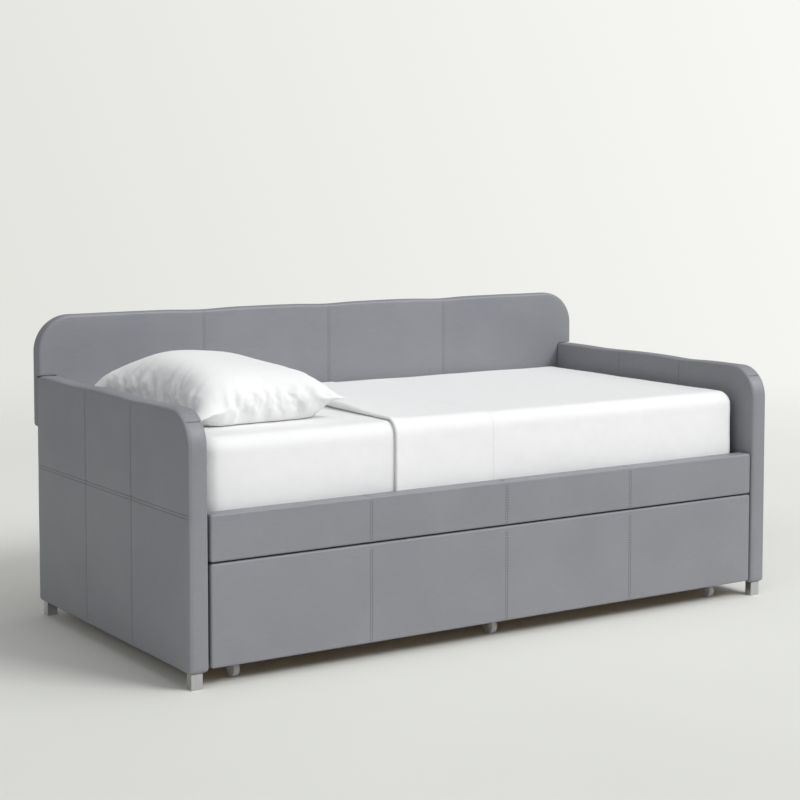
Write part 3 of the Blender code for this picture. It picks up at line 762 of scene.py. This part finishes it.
def make_rail(cover_node, name, body, seed):
    """A wrapped board with double-stitched seams, and its cover turned over onto its back."""
    low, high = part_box(cover_node)
    if body == BED:
        low.z -= 0.0012
    else:
        high.z += 0.0012
    board = PaddedBoard(
        low, high, "Y", (0.008,) * 4, (0.0055, 0.003), u_marks=RAIL_SEAMS, step=0.016
    )

    def front(x, z, d):
        up = 0.0014 * smooth(d, 0.0, 0.06)
        for k, seam_x in enumerate(RAIL_SEAMS):
            up = up + seam_dip(x - seam_x, 0.0005, 0.012, 0.0002) + pucker(z, x - seam_x, seed + k, 0.00015)
        there = np.stack([x, 0 * x + seed, z], -1)
        return up + hide(there, seed, 0.00045, 0.2)

    board.relief["low"] = front

    def band(points, w):
        up = 0 * w
        for seam_x in RAIL_SEAMS:
            up = up + seam_dip(points[..., 0] - seam_x, 0.0005, 0.010, 0.0006)
        return up + hide(points, seed + 4, 0.0003, 0.15)

    board.band_relief = band

    # Painted shade: a faint darkening in the groove of each seam.
    def seam(points, on_band):
        mark = np.zeros(points.shape[:-1])
        for seam_x in RAIL_SEAMS:
            mark = np.maximum(mark, 0.04 * bell(points[..., 0] - seam_x, 0.0010))
        return mark

    board.seam = seam
    cover = board.build(name, LEATHER, body)

    def on_the_back(p):
        return p.y > high.y - 0.001 and board.to_edge(np.array(p.x), np.array(p.z)) > 0.022

    under_cloth(cover, on_the_back)
    core_node = cover_node.replace("_cover", "_core")
    core_low, core_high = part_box(core_node)
    core_high.y -= 0.003
    inner = PaddedBoard(core_low, core_high, "Y", (0.004,) * 4, (0.001, 0.001), step=0.05)
    make_core(inner, core_node, body)
    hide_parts(cover_node)

    rows = Stitches(f"{name}_stitching", body)
    for seam_x in RAIL_SEAMS:
        for offset in (-TOPSTITCH, TOPSTITCH):
            def upright(t, x=seam_x + offset):
                return board.face_point(x, t, "low", THREAD_SINK)
            rows.row(upright, low.z + 0.004, high.z - 0.008, (0, -1, 0))
            if cover_node.startswith("front_rail"):
                def over(t, x=seam_x + offset):
                    return np.array([x, t, high.z - 0.0007])
                rows.row(over, low.y + 0.010, high.y - 0.004, (0, 0, 1))
    rows.build()


# ------------------------------------------------------------------ backrest


def make_backrest():
    """The padded back panel, notched at both ends where it sits over the arms."""
    low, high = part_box("backrest_cover")
    arm_low, arm_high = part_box("right_arm_cover")
    notch_x = arm_low.x - 0.0015
    notch_z = arm_high.z + 0.0006
    notch_depth = arm_high.y + 0.0008 - low.y
    # The board is built from back to front, so that its high plane is the front, which the notch cuts.
    flip_low = Vector((low.x, -high.y, low.z))
    flip_high = Vector((high.x, -low.y, high.z))
    board = PaddedBoard(
        flip_low, flip_high, "Y", BACK_CORNERS, (SOFT, SOFT),
        u_marks=(*RAIL_SEAMS, -notch_x, notch_x), v_marks=(notch_z, notch_z - SOFT),
        w_marks=(flip_low.y + GUSSET + 0.0014, flip_high.y - GUSSET - 0.0014),
    )

    def high_plane(x, z):
        beside = smooth(np.abs(x), notch_x - 0.002, notch_x + 0.0005)
        into = np.clip(np.abs(x) - arm_low.x, 0.0, SOFT)
        drop = SOFT - np.sqrt(SOFT**2 - (SOFT - into) ** 2)
        under = 1 - smooth(z, notch_z - drop - 0.0015, notch_z - drop + 0.0015)
        return flip_high.y - notch_depth * beside * under

    board.high_plane = high_plane

    def face(seed):
        def relief(x, z, d):
            up = 0.0018 * smooth(d, 0.0, 0.06)
            for k, seam_x in enumerate(RAIL_SEAMS):
                up = up + seam_dip(x - seam_x, 0.0012, 0.016, 0.0)
                up = up - 0.0005 * sum(bell(x - seam_x - offset, 0.0011) for offset in BACK_ROWS)
                up = up + pucker(z, x - seam_x, seed + k)
            there = np.stack([x, 0 * x + seed, z], -1)
            return up + hide(there, seed, 0.0006, 0.2)
        return relief

    board.relief = {"low": face(31), "high": face(35)}

    def band(points, w):
        full = 0.0010 * (1 - (np.abs(points[..., 1] + (low.y + high.y) / 2) / 0.025) ** 2)
        front = board.high_plane(points[..., 0], points[..., 2])
        for seam_y in (front - GUSSET, flip_low.y + GUSSET):
            full = full + seam_dip(w - seam_y, 0.0005, 0.005, 0.0009)
        return full + hide(points, 41, 0.0004, 0.12)

    board.band_relief = band

    def bend(points):
        out = points.copy()
        rise = smooth(out[..., 2], high.z - 0.13, high.z)
        drop = 0 * rise
        for seam_x in RAIL_SEAMS:
            drop = drop + 0.0042 * bell(out[..., 0] - seam_x, 0.090)
        out[..., 2] -= drop * rise
        out[..., 1] *= -1
        return out

    board.bend = bend

    # Painted shade: darker in the grooves of the band's two seams and of the two rows beside each face
    # seam.
    def seam(points, on_band):
        y = -points[..., 1]
        mark = np.zeros(points.shape[:-1])
        if on_band:
            plane = board.high_plane(points[..., 0], points[..., 2])
            for seam_y in (plane - GUSSET, flip_low.y + GUSSET):
                mark = np.maximum(mark, 0.4 * bell(y - seam_y, BAND_SEAM_SHADE_WIDTH))
            return mark
        for seam_x in RAIL_SEAMS:
            for offset in BACK_ROWS:
                mark = np.maximum(mark, 0.19 * bell(points[..., 0] - seam_x - offset, 0.0009))
        return mark

    board.seam = seam
    cover = board.build("backrest_upholstery", LEATHER, BED)
    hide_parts("backrest_cover")

    pad = flip_high.y - (-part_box("backrest_core")[0].y)
    core_low, core_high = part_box("backrest_core")
    core_low.z = low.z + PADDING
    inner = PaddedBoard(
        Vector((core_low.x, -core_high.y, core_low.z)), Vector((core_high.x, -core_low.y, core_high.z)),
        "Y", tighter(BACK_CORNERS), (0.001, 0.001),
        u_marks=(-notch_x + pad, notch_x - pad), v_marks=(notch_z + pad,), step=0.03,
    )

    def core_plane(x, z):
        beside = smooth(np.abs(x), notch_x - pad - 0.002, notch_x - pad)
        under = 1 - smooth(z, notch_z + pad, notch_z + pad + 0.002)
        return -core_low.y - notch_depth * beside * under

    inner.high_plane = core_plane
    inner.bend = bend
    make_core(inner, "backrest_core")

    rows = Stitches("backrest_stitching", BED, FINE_STITCH)
    for side, out in (("low", (0, 1, 0)), ("high", (0, -1, 0))):
        for seam_x in RAIL_SEAMS:
            for offset in BACK_ROWS:
                def upright(t, x=seam_x + offset, side=side):
                    return board.face_point(x, t, side, THREAD_SINK)
                rows.row(upright, low.z + 0.012, high.z - 0.012, out)
    rows.build()


# ------------------------------------------------------------------ mattresses and sheets


def make_mattress():
    """The bed's mattress under its sheet: ticking, a little smaller than the sheet."""
    low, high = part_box("mattress")
    room = Vector((0.003, 0.003, 0.0))
    board = PaddedBoard(
        low + room, high - room - Vector((0, 0, 0.003)), "Z", MATTRESS_CORNERS, (0.014, 0.037),
        w_marks=(low.z + 0.02, high.z - 0.05), step=0.024,
    )
    board.relief["high"] = lambda x, y, d: hide(np.stack([x, y, 0 * x], -1), 51, 0.0012, 0.2) + 0.0020
    piece = board.build("mattress_core", TICKING, BED)
    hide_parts("mattress")


def bedding_board(lift, marks=()):
    """A surface that lies on the mattress at a height above it, with soft unevenness."""
    low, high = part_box("mattress")
    out = Vector((lift, lift, 0.0))
    up = Vector((0.0, 0.0, lift))
    board = PaddedBoard(
        low - out, high + out + up, "Z", MATTRESS_CORNERS, (0.014, 0.038), u_marks=marks, step=0.0125
    )

    def relief(x, y, d):
        there = np.stack([x, y, 0 * x], -1)
        return 0.0012 * waves(there, 0.18, 61) + 0.0004 * waves(there, 0.035, 62) + SHEET_LIFT

    def band(points, w):
        up = 0.0014 * waves(points * np.array([1, 1, 1.4]), 0.13, 63) + 0.0003 * waves(points, 0.035, 64)
        return up - 0.001 + 0.002 * np.sin((w - low.z) / (high.z - low.z) * math.pi)

    board.relief["high"] = relief
    board.band_relief = band
    return board


def make_sheet():
    """The fitted sheet: over the top, down all sides and turned under the mattress."""
    board = bedding_board(0.0)
    sheet = board.build("fitted_sheet", SHEET, BED, keep=("high", "band"), low_ring=0.10)
    thick = sheet.modifiers.new("cloth thickness", "SOLIDIFY")
    thick.thickness = 0.0008
    thick.offset = -1.0


def make_coverlet():
    """A coverlet tucked at the front, back and right, its head end folded back over itself."""
    bed_low, bed_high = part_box("mattress")
    cover_low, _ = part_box("coverlet")
    fold, hem = cover_low.x, HEM_X
    board = bedding_board(0.0022, (fold, hem))
    whole = board.build("coverlet_piece", COVERLET, BED, keep=("high", "band"))
    bm = bmesh.new()
    bm.from_mesh(whole.data)
    seam = bm.verts.layers.float["seam"]
    hem_z = cover_low.z
    doomed = [f for f in bm.faces if f.calc_center_median().x < fold or f.calc_center_median().z < hem_z]
    bmesh.ops.delete(bm, geom=doomed, context="FACES")
    bm.normal_update()
    lower = {v: (v.co.copy(), v.normal.copy()) for v in bm.verts}

    cuff_faces = [f for f in bm.faces if f.calc_center_median().x < hem]
    made = bmesh.ops.duplicate(bm, geom=cuff_faces)
    twin = {a: b for a, b in made["vert_map"].items() if isinstance(a, bmesh.types.BMVert) and a in lower}

    def lift(place):
        """The cuff stands off the layer below most at the fold, and less where it is tucked at the back."""
        roll = 0.0055 + 0.0165 * float(smooth(place.y - bed_low.y, 0.06, 0.42))
        roll *= 1 - float(smooth(place.y, bed_high.y - 0.14, bed_high.y - 0.03))
        return 0.0026 + roll * math.exp(-((place.x - fold) / 0.05))

    for below, above in twin.items():
        place, normal = lower[below]
        above.co = place + normal * lift(place)
    # The roll at the fold joins the two layers.
    edge = [e for e in bm.edges if e.is_boundary and all(v in twin for v in e.verts)
            and all(abs(lower[v][0].x - fold) < 1e-5 for v in e.verts)]
    steps = 6
    rolls = {}
    for v in {v for e in edge for v in e.verts}:
        place, normal = lower[v]
        half = lift(place) / 2
        row = [v]
        for k in range(1, steps):
            turn = math.pi * k / steps
            middle = place + normal * half
            there = middle - normal * half * math.cos(turn) - Vector((half * math.sin(turn) * 1.1, 0, 0))
            row.append(bm.verts.new(there))
        rolls[v] = [*row, twin[v]]
    for e in edge:
        a, b = e.verts
        for k in range(steps):
            bm.faces.new((rolls[a][k], rolls[b][k], rolls[b][k + 1], rolls[a][k + 1]))
    bmesh.ops.recalc_face_normals(bm, faces=bm.faces)

    for v in bm.verts:
        reach = math.exp(-abs(v.co.x - fold) / 0.22)
        y = v.co.y - (bed_low.y - 0.056)
        v.co.x += reach * (0.026 * float(smooth(y, 0.10, 0.50)) + 0.003 * math.sin(y * 11.0))
        # Painted shade: a dark grey line along the hem, where the folded-back cuff ends over the layer
        # below.
        v[seam] = 0.6 * float(bell(v.co.x - hem, 0.0016))
    bm.to_mesh(whole.data)
    bm.free()
    thick = whole.modifiers.new("cloth thickness", "SOLIDIFY")
    thick.thickness = 0.0012
    thick.offset = 0.0
    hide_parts("coverlet")


# ------------------------------------------------------------------ pillow


def make_pillow():
    """Two cloth panels sewn round their edges and blown up by their filling, resting on the bed."""
    low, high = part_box("pillow")
    floor_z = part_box("mattress")[1].z + PILLOW_LIFT
    columns, rows = 74, 86
    wide, deep = columns * PILLOW_CELL, rows * PILLOW_CELL
    corners = {
        (0, 0): (low.x + 0.063, low.y, floor_z + 0.0393),
        (1, 0): (high.x + 0.002, low.y, floor_z + 0.0663),
        (0, 1): (low.x - 0.002, low.y + 0.632, floor_z + 0.0803),
        (1, 1): (high.x - 0.040, low.y + 0.655, floor_z + 0.0743),
    }

    points, faces = [], []
    index = {}
    for level in (1, -1):
        for i in range(columns + 1):
            for j in range(rows + 1):
                rim = i in (0, columns) or j in (0, rows)
                if rim and level < 0:
                    index[i, j, level] = index[i, j, 1]
                    continue
                s, t = 2 * i / columns - 1, 2 * j / rows - 1
                puff = ((1 - s**4) * (1 - t**4)) ** 0.5
                index[i, j, level] = len(points)
                bulge = 0.03 * puff * (1 if level > 0 else 0.6)
                points.append((wide / 2 * s, deep / 2 * t, level * bulge + 0.045))
    for i in range(columns):
        for j in range(rows):
            ring = ((i, j), (i + 1, j), (i + 1, j + 1), (i, j + 1))
            faces.append(tuple(index[(*key, 1)] for key in ring))
            faces.append(tuple(index[(*key, -1)] for key in reversed(ring)))
    pillow = mesh_object("pillow_piece", points, faces, PILLOWCASE, BED)
    rim_ids = sorted({index[i, j, 1] for i in range(columns + 1) for j in range(rows + 1)
                      if i in (0, columns) or j in (0, rows)})
    place = {v: key for key, v in index.items()}
    simulate_pillow(pillow, rim_ids)
    got = np.array([v.co for v in pillow.data.vertices])
    s = np.array([place[k][0] / columns for k in range(len(got))])
    t = np.array([place[k][1] / rows for k in range(len(got))])
    corner_ids = {(a, b): index[a * columns, b * rows, 1] for a, b in corners}
    panels = {
        level: np.array([[index[i, j, level] for j in range(rows + 1)] for i in range(columns + 1)])
        for level in (1, -1)
    }
    calm_panel(got, panels[1])
    calm_panel(got, panels[-1])
    fit_pillow(got, s, t, corner_ids, corners, floor_z)
    gather_panel(got, panels[1], 0.0048)
    gather_panel(got, panels[-1], 0.0030)
    for v, co in zip(pillow.data.vertices, got):
        v.co = co
    smooth_more = pillow.modifiers.new("finer cloth", "SUBSURF")
    smooth_more.levels = smooth_more.render_levels = 1
    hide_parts("pillow")


def simulate_pillow(pillow, rim_ids):
    """Fills the sewn panels, with the seam drawn up a little, over a flat table. Gravity is off."""
    bpy.ops.mesh.primitive_plane_add(size=3.0, location=(0, 0, -0.012))
    table = bpy.context.object
    table.modifiers.new("touch", "COLLISION")
    table.collision.thickness_outer = 0.004
    table.collision.cloth_friction = 12.0
    group = pillow.vertex_groups.new(name="seam")
    group.add(rim_ids, 1.0, "REPLACE")
    cloth = pillow.modifiers.new("cloth", "CLOTH")
    s = cloth.settings
    s.quality = 6
    s.mass = 0.15
    s.air_damping = 2.0
    s.tension_stiffness = s.compression_stiffness = 22.0
    s.shear_stiffness = 9.0
    s.bending_stiffness = 0.06
    s.tension_damping = s.compression_damping = 8.0
    s.use_pressure = True
    s.uniform_pressure_force = 6.5
    s.vertex_group_shrink = "seam"
    s.shrink_min = 0.0
    s.shrink_max = 0.10
    s.effector_weights.gravity = 0.0
    cloth.collision_settings.use_self_collision = False
    cloth.collision_settings.distance_min = 0.004
    cloth.point_cache.frame_start = 1
    cloth.point_cache.frame_end = 45
    scene = bpy.context.scene
    for f in range(1, cloth.point_cache.frame_end + 1):
        scene.frame_set(f)
    evaluated = pillow.evaluated_get(bpy.context.evaluated_depsgraph_get())
    final = [v.co.copy() for v in evaluated.data.vertices]
    pillow.modifiers.remove(cloth)
    pillow.vertex_groups.clear()
    for v, co in zip(pillow.data.vertices, final):
        v.co = co
    bpy.data.objects.remove(table, do_unlink=True)
    scene.frame_set(1)


def rim_distance(ids):
    """How far each point of a panel is from its nearest sewn edge, along the cloth, and which edge."""
    columns, rows = ids.shape
    i, j = np.meshgrid(np.arange(columns), np.arange(rows), indexing="ij")
    gaps = np.stack([i, columns - 1 - i, j, rows - 1 - j]) * PILLOW_CELL
    return gaps.min(axis=0), gaps.argmin(axis=0), i * PILLOW_CELL, j * PILLOW_CELL


def calm_panel(got, ids):
    """Smooths the middle of a panel, where a filled case is taut, and leaves its edges crumpled."""
    cloth = got[ids]
    taut = cloth.copy()
    for _ in range(70):
        around = taut[2:, 1:-1] + taut[:-2, 1:-1] + taut[1:-1, 2:] + taut[1:-1, :-2]
        taut[1:-1, 1:-1] = (around + taut[1:-1, 1:-1]) / 5
    gap, _, i, j = rim_distance(ids)
    to_corner = np.hypot(np.minimum(i, i.max() - i), np.minimum(j, j.max() - j))
    near_corner = 1 - smooth(to_corner, 0.10, 0.24)
    weight = 0.90 * np.maximum(smooth(gap, 0.012, 0.09), near_corner)[..., None]
    got[ids] = cloth * (1 - weight) + taut * weight


def gather_panel(got, ids, size):
    """Short folds that run in from the seam, as the thread draws the cloth up."""
    cloth = got[ids]
    across = np.gradient(cloth, axis=0)
    along = np.gradient(cloth, axis=1)
    normal = np.cross(across, along)
    normal /= np.maximum(np.linalg.norm(normal, axis=-1, keepdims=True), 1e-12)
    gap, edge, i, j = rim_distance(ids)
    run = np.where(edge < 2, j, i)
    length = np.where(edge < 2, ids.shape[1], ids.shape[0]) * PILLOW_CELL
    reach = np.where(edge < 2, 0.034, 0.022)
    off_corner = smooth(np.minimum(run, length - run), 0.03, 0.14)
    there = np.stack([run, edge * 3.0, 0 * run], -1)
    leaning = np.stack([run + 0.3 * gap * np.sign(run - length / 2), edge * 3.0, 0 * run], -1)
    beat = 2.2 * waves(leaning, 0.034, 81, 3)
    strength = 0.45 + 1.3 * waves(there, 0.12, 82)
    shape = gap / reach * np.exp(1 - gap / reach)
    height = size * shape * np.clip(strength, 0.1, 1.3) * off_corner
    got[ids] = cloth + normal * (height * beat)[..., None]


def fit_pillow(got, s, t, corner_ids, corners, floor_z):
    """Lays the filled pillow on the bed: corners at their own heights, fullest to the left, flat below.

    The numbers in above and fuller were fitted to the outline wanted from the front left.
    """
    across, along = 2 * s - 1, 2 * t - 1
    above = got[:, 2] - (got[:, 2].max() + got[:, 2].min()) / 2
    start = got.copy()
    seam_height = 0.012 * (1 - across**2) * np.clip(-along, 0, 1)
    for (a, b), corner in corners.items():
        weight = (s if a else 1 - s) * (t if b else 1 - t)
        got[:, 0] += weight * (corner[0] - start[corner_ids[a, b], 0])
        got[:, 1] += weight * (corner[1] - start[corner_ids[a, b], 1])
        seam_height += weight * (corner[2] - floor_z)
    to_corner = np.min([np.hypot(s - a, t - b) for a, b in corners], axis=0)
    above *= 0.55 + 0.45 * smooth(to_corner, 0.0, 0.30)
    to_arm_corner = np.hypot(s, 1 - t)
    above *= 1 - 0.228 * bell(to_arm_corner - 0.26, 0.16) + 1.6 * bell(to_arm_corner, 0.10)
    fuller = 0.626 - 0.158 * across + 0.315 * across**2 + 0.162 * across**3
    fuller += 0.149 * along + 0.125 * along**2
    flatter = 0.90 - 0.22 * np.clip(across, 0, 1) ** 2
    height = seam_height + above * np.where(above > 0, fuller, flatter)
    rest = 0.006
    got[:, 2] = floor_z + (height + np.sqrt(height**2 + rest**2)) / 2


# ------------------------------------------------------------------ trundle mattress


def make_trundle_mattress():
    """A foam mattress in quilted ticking, with a tape sewn round its top and bottom edges."""
    low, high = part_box("trundle_mattress")
    board = PaddedBoard(
        low, high, "Z", (0.035,) * 4, (0.012, 0.012),
        w_marks=(low.z + 0.016, high.z - 0.016), step=0.012,
    )
    pitch = 0.11

    def quilt(x, y, d):
        a = ((x + y) / pitch) % 1.0
        b = ((x - y) / pitch) % 1.0
        line = np.minimum(np.minimum(a, 1 - a), np.minimum(b, 1 - b)) * pitch
        puff = 0.0055 * (1 - np.exp(-line / 0.013)) - 0.0055
        return puff * smooth(d, 0.012, 0.03) + 0.0005 * waves(np.stack([x, y, 0 * x], -1), 0.05, 72)

    def band(points, w):
        tape = bell(w - low.z - 0.014, 0.0045) + bell(w - high.z + 0.014, 0.0045)
        fine = 0.0012 * waves(points * np.array([1, 1, 0.5]), 0.04, 71)
        return 0.0022 * tape - 0.0022 + fine * (1 - np.clip(tape, 0, 1))

    board.relief = {"low": lambda x, y, d: 0 * x, "high": quilt}
    board.band_relief = band

    # Painted shade: grey lines in the grooves beside the top and bottom tapes.
    def seam(points, on_band):
        if not on_band:
            return np.zeros(points.shape[:-1])
        z = points[..., 2]
        return 0.35 * np.maximum(bell(z - low.z - 0.020, 0.0012), bell(z - high.z + 0.020, 0.0012))

    board.seam = seam
    piece = board.build("trundle_mattress_piece", TICKING, TRUNDLE)
    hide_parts("trundle_mattress")


# ------------------------------------------------------------------ casters and metal

PLATE_THICK = 0.0022
SCREW_REACH = 0.0165  # from the middle of a caster's plate to each screw, across and along


def turned(name, profile, centre, steps, material, body):
    """A closed ring turned about the X line through centre, from (along, radius) points."""
    points, faces = [], []
    count = len(profile)
    for k in range(steps):
        turn = math.tau * k / steps
        for along, radius in profile:
            spoke = Vector((along, radius * math.cos(turn), radius * math.sin(turn)))
            points.append(centre + spoke)
    for k in range(steps):
        for m in range(count):
            a, b = k * count + m, k * count + (m + 1) % count
            c, d = ((k + 1) % steps) * count + (m + 1) % count, ((k + 1) % steps) * count + m
            faces.append((a, b, c, d))
    thing = mesh_object(name, points, faces, material, body)
    face_out(thing)
    return thing


def screw(name, centre, radius, height):
    """A round head with a cross recess, facing down."""
    steps = 24
    cross = [0.30 if k % 6 in (0, 1, 5) else 0.13 for k in range(steps)]
    outline = ((1.0, 0.0), (1.0, 0.45), (0.86, 0.85), (0.60, 1.0), (0.34, 1.0))
    rings = [([reach] * steps, drop) for reach, drop in outline] + [(cross, 0.45)]
    points, faces = [], []
    for reaches, drop in rings:
        for k, reach in enumerate(reaches):
            turn = math.tau * k / steps
            spoke = Vector((math.cos(turn), math.sin(turn), 0.0)) * radius * reach
            points.append(centre + spoke - Vector((0, 0, height * drop)))
    for ring in range(len(rings) - 1):
        faces += tube_faces(ring * steps, steps)
    faces.append(tuple(range((len(rings) - 1) * steps, len(rings) * steps)))
    faces.append(tuple(range(steps)))
    thing = mesh_object(name, points, faces, ZINC, TRUNDLE)
    face_out(thing)


def make_wheel(node, body):
    """A caster wheel: a crowned tread, a shallow step round the side and a raised hub."""
    low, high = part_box(node)
    centre = (Vector(low) + Vector(high)) / 2
    half = (high.x - low.x) / 2
    radius = (high.z - low.z) / 2
    bore = 0.0032
    side = [(half - 0.0004, bore), (half, bore + 0.0006), (half, 0.0072), (half - 0.0010, 0.0080),
            (half - 0.0012, 0.0092), (half - 0.0012, 0.0178), (half - 0.0009, 0.0190),
            (half - 0.0003, 0.0197), (half - 0.0004, radius - 0.0022)]
    tread = []
    for k in range(1, 5):
        turn = math.pi / 2 * k / 5
        tread.append((half - 0.0022 + 0.0018 * math.cos(turn), radius - 0.0022 + 0.0018 * math.sin(turn)))
    crown = [(half * 0.55, radius - 0.00015), (0.0, radius)]
    half_profile = side + tread + crown
    profile = half_profile + [(-x, r) for x, r in reversed(half_profile[:-1])]
    wheel = turned(f"{node}_turned", profile, centre, 64, NYLON, body)
    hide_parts(node)


def make_casters():
    """Each caster's turned wheel, and the four screws of its plate."""
    for end in ("front", "rear"):
        for place in ("left", "middle", "right"):
            name = f"caster_{end}_{place}"
            make_wheel(f"{name}_wheel", f"wheel_{end}_{place}")
            low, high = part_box(f"{name}_housing")
            plate = Vector(((low.x + high.x) / 2, (low.y + high.y) / 2, high.z - PLATE_THICK))
            for k, (sx, sy) in enumerate(((-1, -1), (1, -1), (1, 1), (-1, 1))):
                centre = plate + Vector((sx * SCREW_REACH, sy * SCREW_REACH, 0.0))
                screw(f"{name}_screw_{k + 1}", centre, 0.0036, 0.0020)


def finish_kept_nodes():
    """Gives every node that is still shown its own grained or brushed material."""
    birch = wood_material("birch_slat", (0.72, 0.55, 0.36), (0.56, 0.39, 0.22), "Y")
    pine, ply = {}, {}
    for along in "XY":
        pine[along] = wood_material(
            f"pine_along_{along.lower()}", (0.66, 0.47, 0.27), (0.46, 0.28, 0.13), along, 26.0, knots=True
        )
        ply[along] = plywood_material(f"plywood_along_{along.lower()}", along)
    satin = steel_material("satin_steel_block", (0.56, 0.56, 0.565), 0.30, 260.0, (1.0, 1.0, 0.04))
    plywood_nodes = ("back_rail", "trundle_left_side", "trundle_right_side", "trundle_back", "trundle_deck")
    rules = [("slat_", birch), ("trundle_bearer", pine), ("ledger", pine), ("foot_", satin)]
    rules += [(part, ply) for part in plywood_nodes]
    rules += [(part, ZINC) for part in ("bracket_", "_housing", "_axle")]
    for name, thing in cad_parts.items():
        low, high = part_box(name)
        along = "X" if high.x - low.x > high.y - low.y else "Y"
        for part, material in rules:
            if part in name:
                for held in thing.material_slots:
                    held.material = material[along] if isinstance(material, dict) else material
                break


# ------------------------------------------------------------------ camera and light


def make_camera():
    """A long lens from the front left, with a small downward shift."""
    data = bpy.data.cameras.new("camera")
    data.lens = 83.057
    data.sensor_width = 36.0
    data.shift_y = -0.12
    camera = bpy.data.objects.new("camera", data)
    bpy.context.collection.objects.link(camera)
    camera.location = (-3.2570, -4.9612, 1.4114)
    camera.rotation_euler = (math.radians(90 - 4.1716), 0.0, math.radians(-33.0610))
    bpy.context.scene.camera = camera


def area_light(name, azimuth, elevation, distance, size, power):
    """A soft box that looks at the bed. Azimuth 0 is from the front, 90 from the right."""
    data = bpy.data.lights.new(name, "AREA")
    data.shape = "RECTANGLE"
    data.size, data.size_y = size
    data.energy = power
    light = bpy.data.objects.new(name, data)
    bpy.context.collection.objects.link(light)
    a, e = math.radians(azimuth), math.radians(elevation)
    back = Vector((math.sin(a) * math.cos(e), -math.cos(a) * math.cos(e), math.sin(e)))
    light.location = LIT_POINT + back * distance
    light.rotation_euler = (-back).to_track_quat("-Z", "Y").to_euler()


def make_floor():
    """A wide pale floor with painted light, a little paler behind the bed, that fades into the backdrop all
    round.
    """
    bm = bmesh.new()
    bmesh.ops.create_circle(bm, cap_ends=True, segments=96, radius=30.0)
    mesh = bpy.data.meshes.new("floor")
    bm.to_mesh(mesh)
    bm.free()
    floor = bpy.data.objects.new("floor", mesh)
    bpy.context.collection.objects.link(floor)
    n = Nodes("floor_paint", Roughness=0.9, Specular_IOR_Level=0.15)
    # Painted light: darker near the camera and paler behind the bed, where more light falls; the faint
    # mottle is the paint's own.
    depth = n.add("VectorMath", {0: n.place(), 1: VIEW_FLAT}, operation="DOT_PRODUCT")
    cloudy = n.range(n.noise(n.place(), 0.6), 0.3, 0.7, -0.15, 0.15)
    mottle_and_painted_light = n.math("ADD", cloudy, n.range(depth.outputs["Value"], -2.2, 2.2))
    near_tone, far_tone = (tuple(factor * c for c in FLOOR_TONE) for factor in (0.955, 1.09))
    n.to("Base Color", n.mix(mottle_and_painted_light, near_tone, far_tone))
    away = n.add("VectorMath", {0: n.place()}, operation="LENGTH").outputs["Value"]
    fade = n.add("MapRange", {0: away, 1: 1.6, 2: 8.0}, interpolation_type="SMOOTHERSTEP").outputs[0]
    clear = n.add("BsdfTransparent").outputs[0]
    both = n.add("MixShader", {0: fade, 1: n.shader.outputs[0], 2: clear}).outputs[0]
    n.tree.links.new(both, n.tree.nodes["Material Output"].inputs["Surface"])
    mesh.materials.append(n.material)


def make_backdrop():
    """The studio round the bed: a pale backdrop, brighter to the right, and an even, dimmer light.

    Only the camera sees the backdrop. The pieces are lit by the even light and the soft boxes.
    """
    world = bpy.data.worlds.new("studio")
    bpy.context.scene.world = world
    world.use_nodes = True
    n = Tree(world.node_tree)
    n.tree.nodes.clear()
    way = n.add("TexCoord").outputs["Generated"]
    side = n.add("VectorMath", {0: way, 1: (0.838, -0.545, 0.35)}, operation="DOT_PRODUCT")
    tone = n.mix(n.range(side.outputs["Value"], -0.22, 0.30), (0.775, 0.782, 0.745), (0.955, 0.955, 0.935))
    seen = n.add("Background", {"Color": tone}).outputs[0]
    light = n.add("Background", {"Color": (0.965, 0.98, 1.0, 1), "Strength": AMBIENT}).outputs[0]
    to_camera = n.add("LightPath").outputs["Is Camera Ray"]
    both = n.add("MixShader", {0: to_camera, 1: light, 2: seen}).outputs[0]
    n.add("OutputWorld", {"Surface": both})


def make_lights():
    """The soft boxes, and plain colours with no film curve."""
    for settings in LIGHTS:
        area_light(*settings)
    bpy.context.scene.view_settings.view_transform = "Standard"


make_camera()
make_floor()
make_backdrop()
make_lights()
for side in ("left", "right"):
    make_arm(side)
make_backrest()
make_rail("front_rail_cover", "front_rail_upholstery", BED, 21)
make_rail("trundle_front_cover", "trundle_front_upholstery", TRUNDLE, 22)
make_mattress()
make_sheet()
make_coverlet()
make_pillow()
make_trundle_mattress()
make_casters()
finish_kept_nodes()
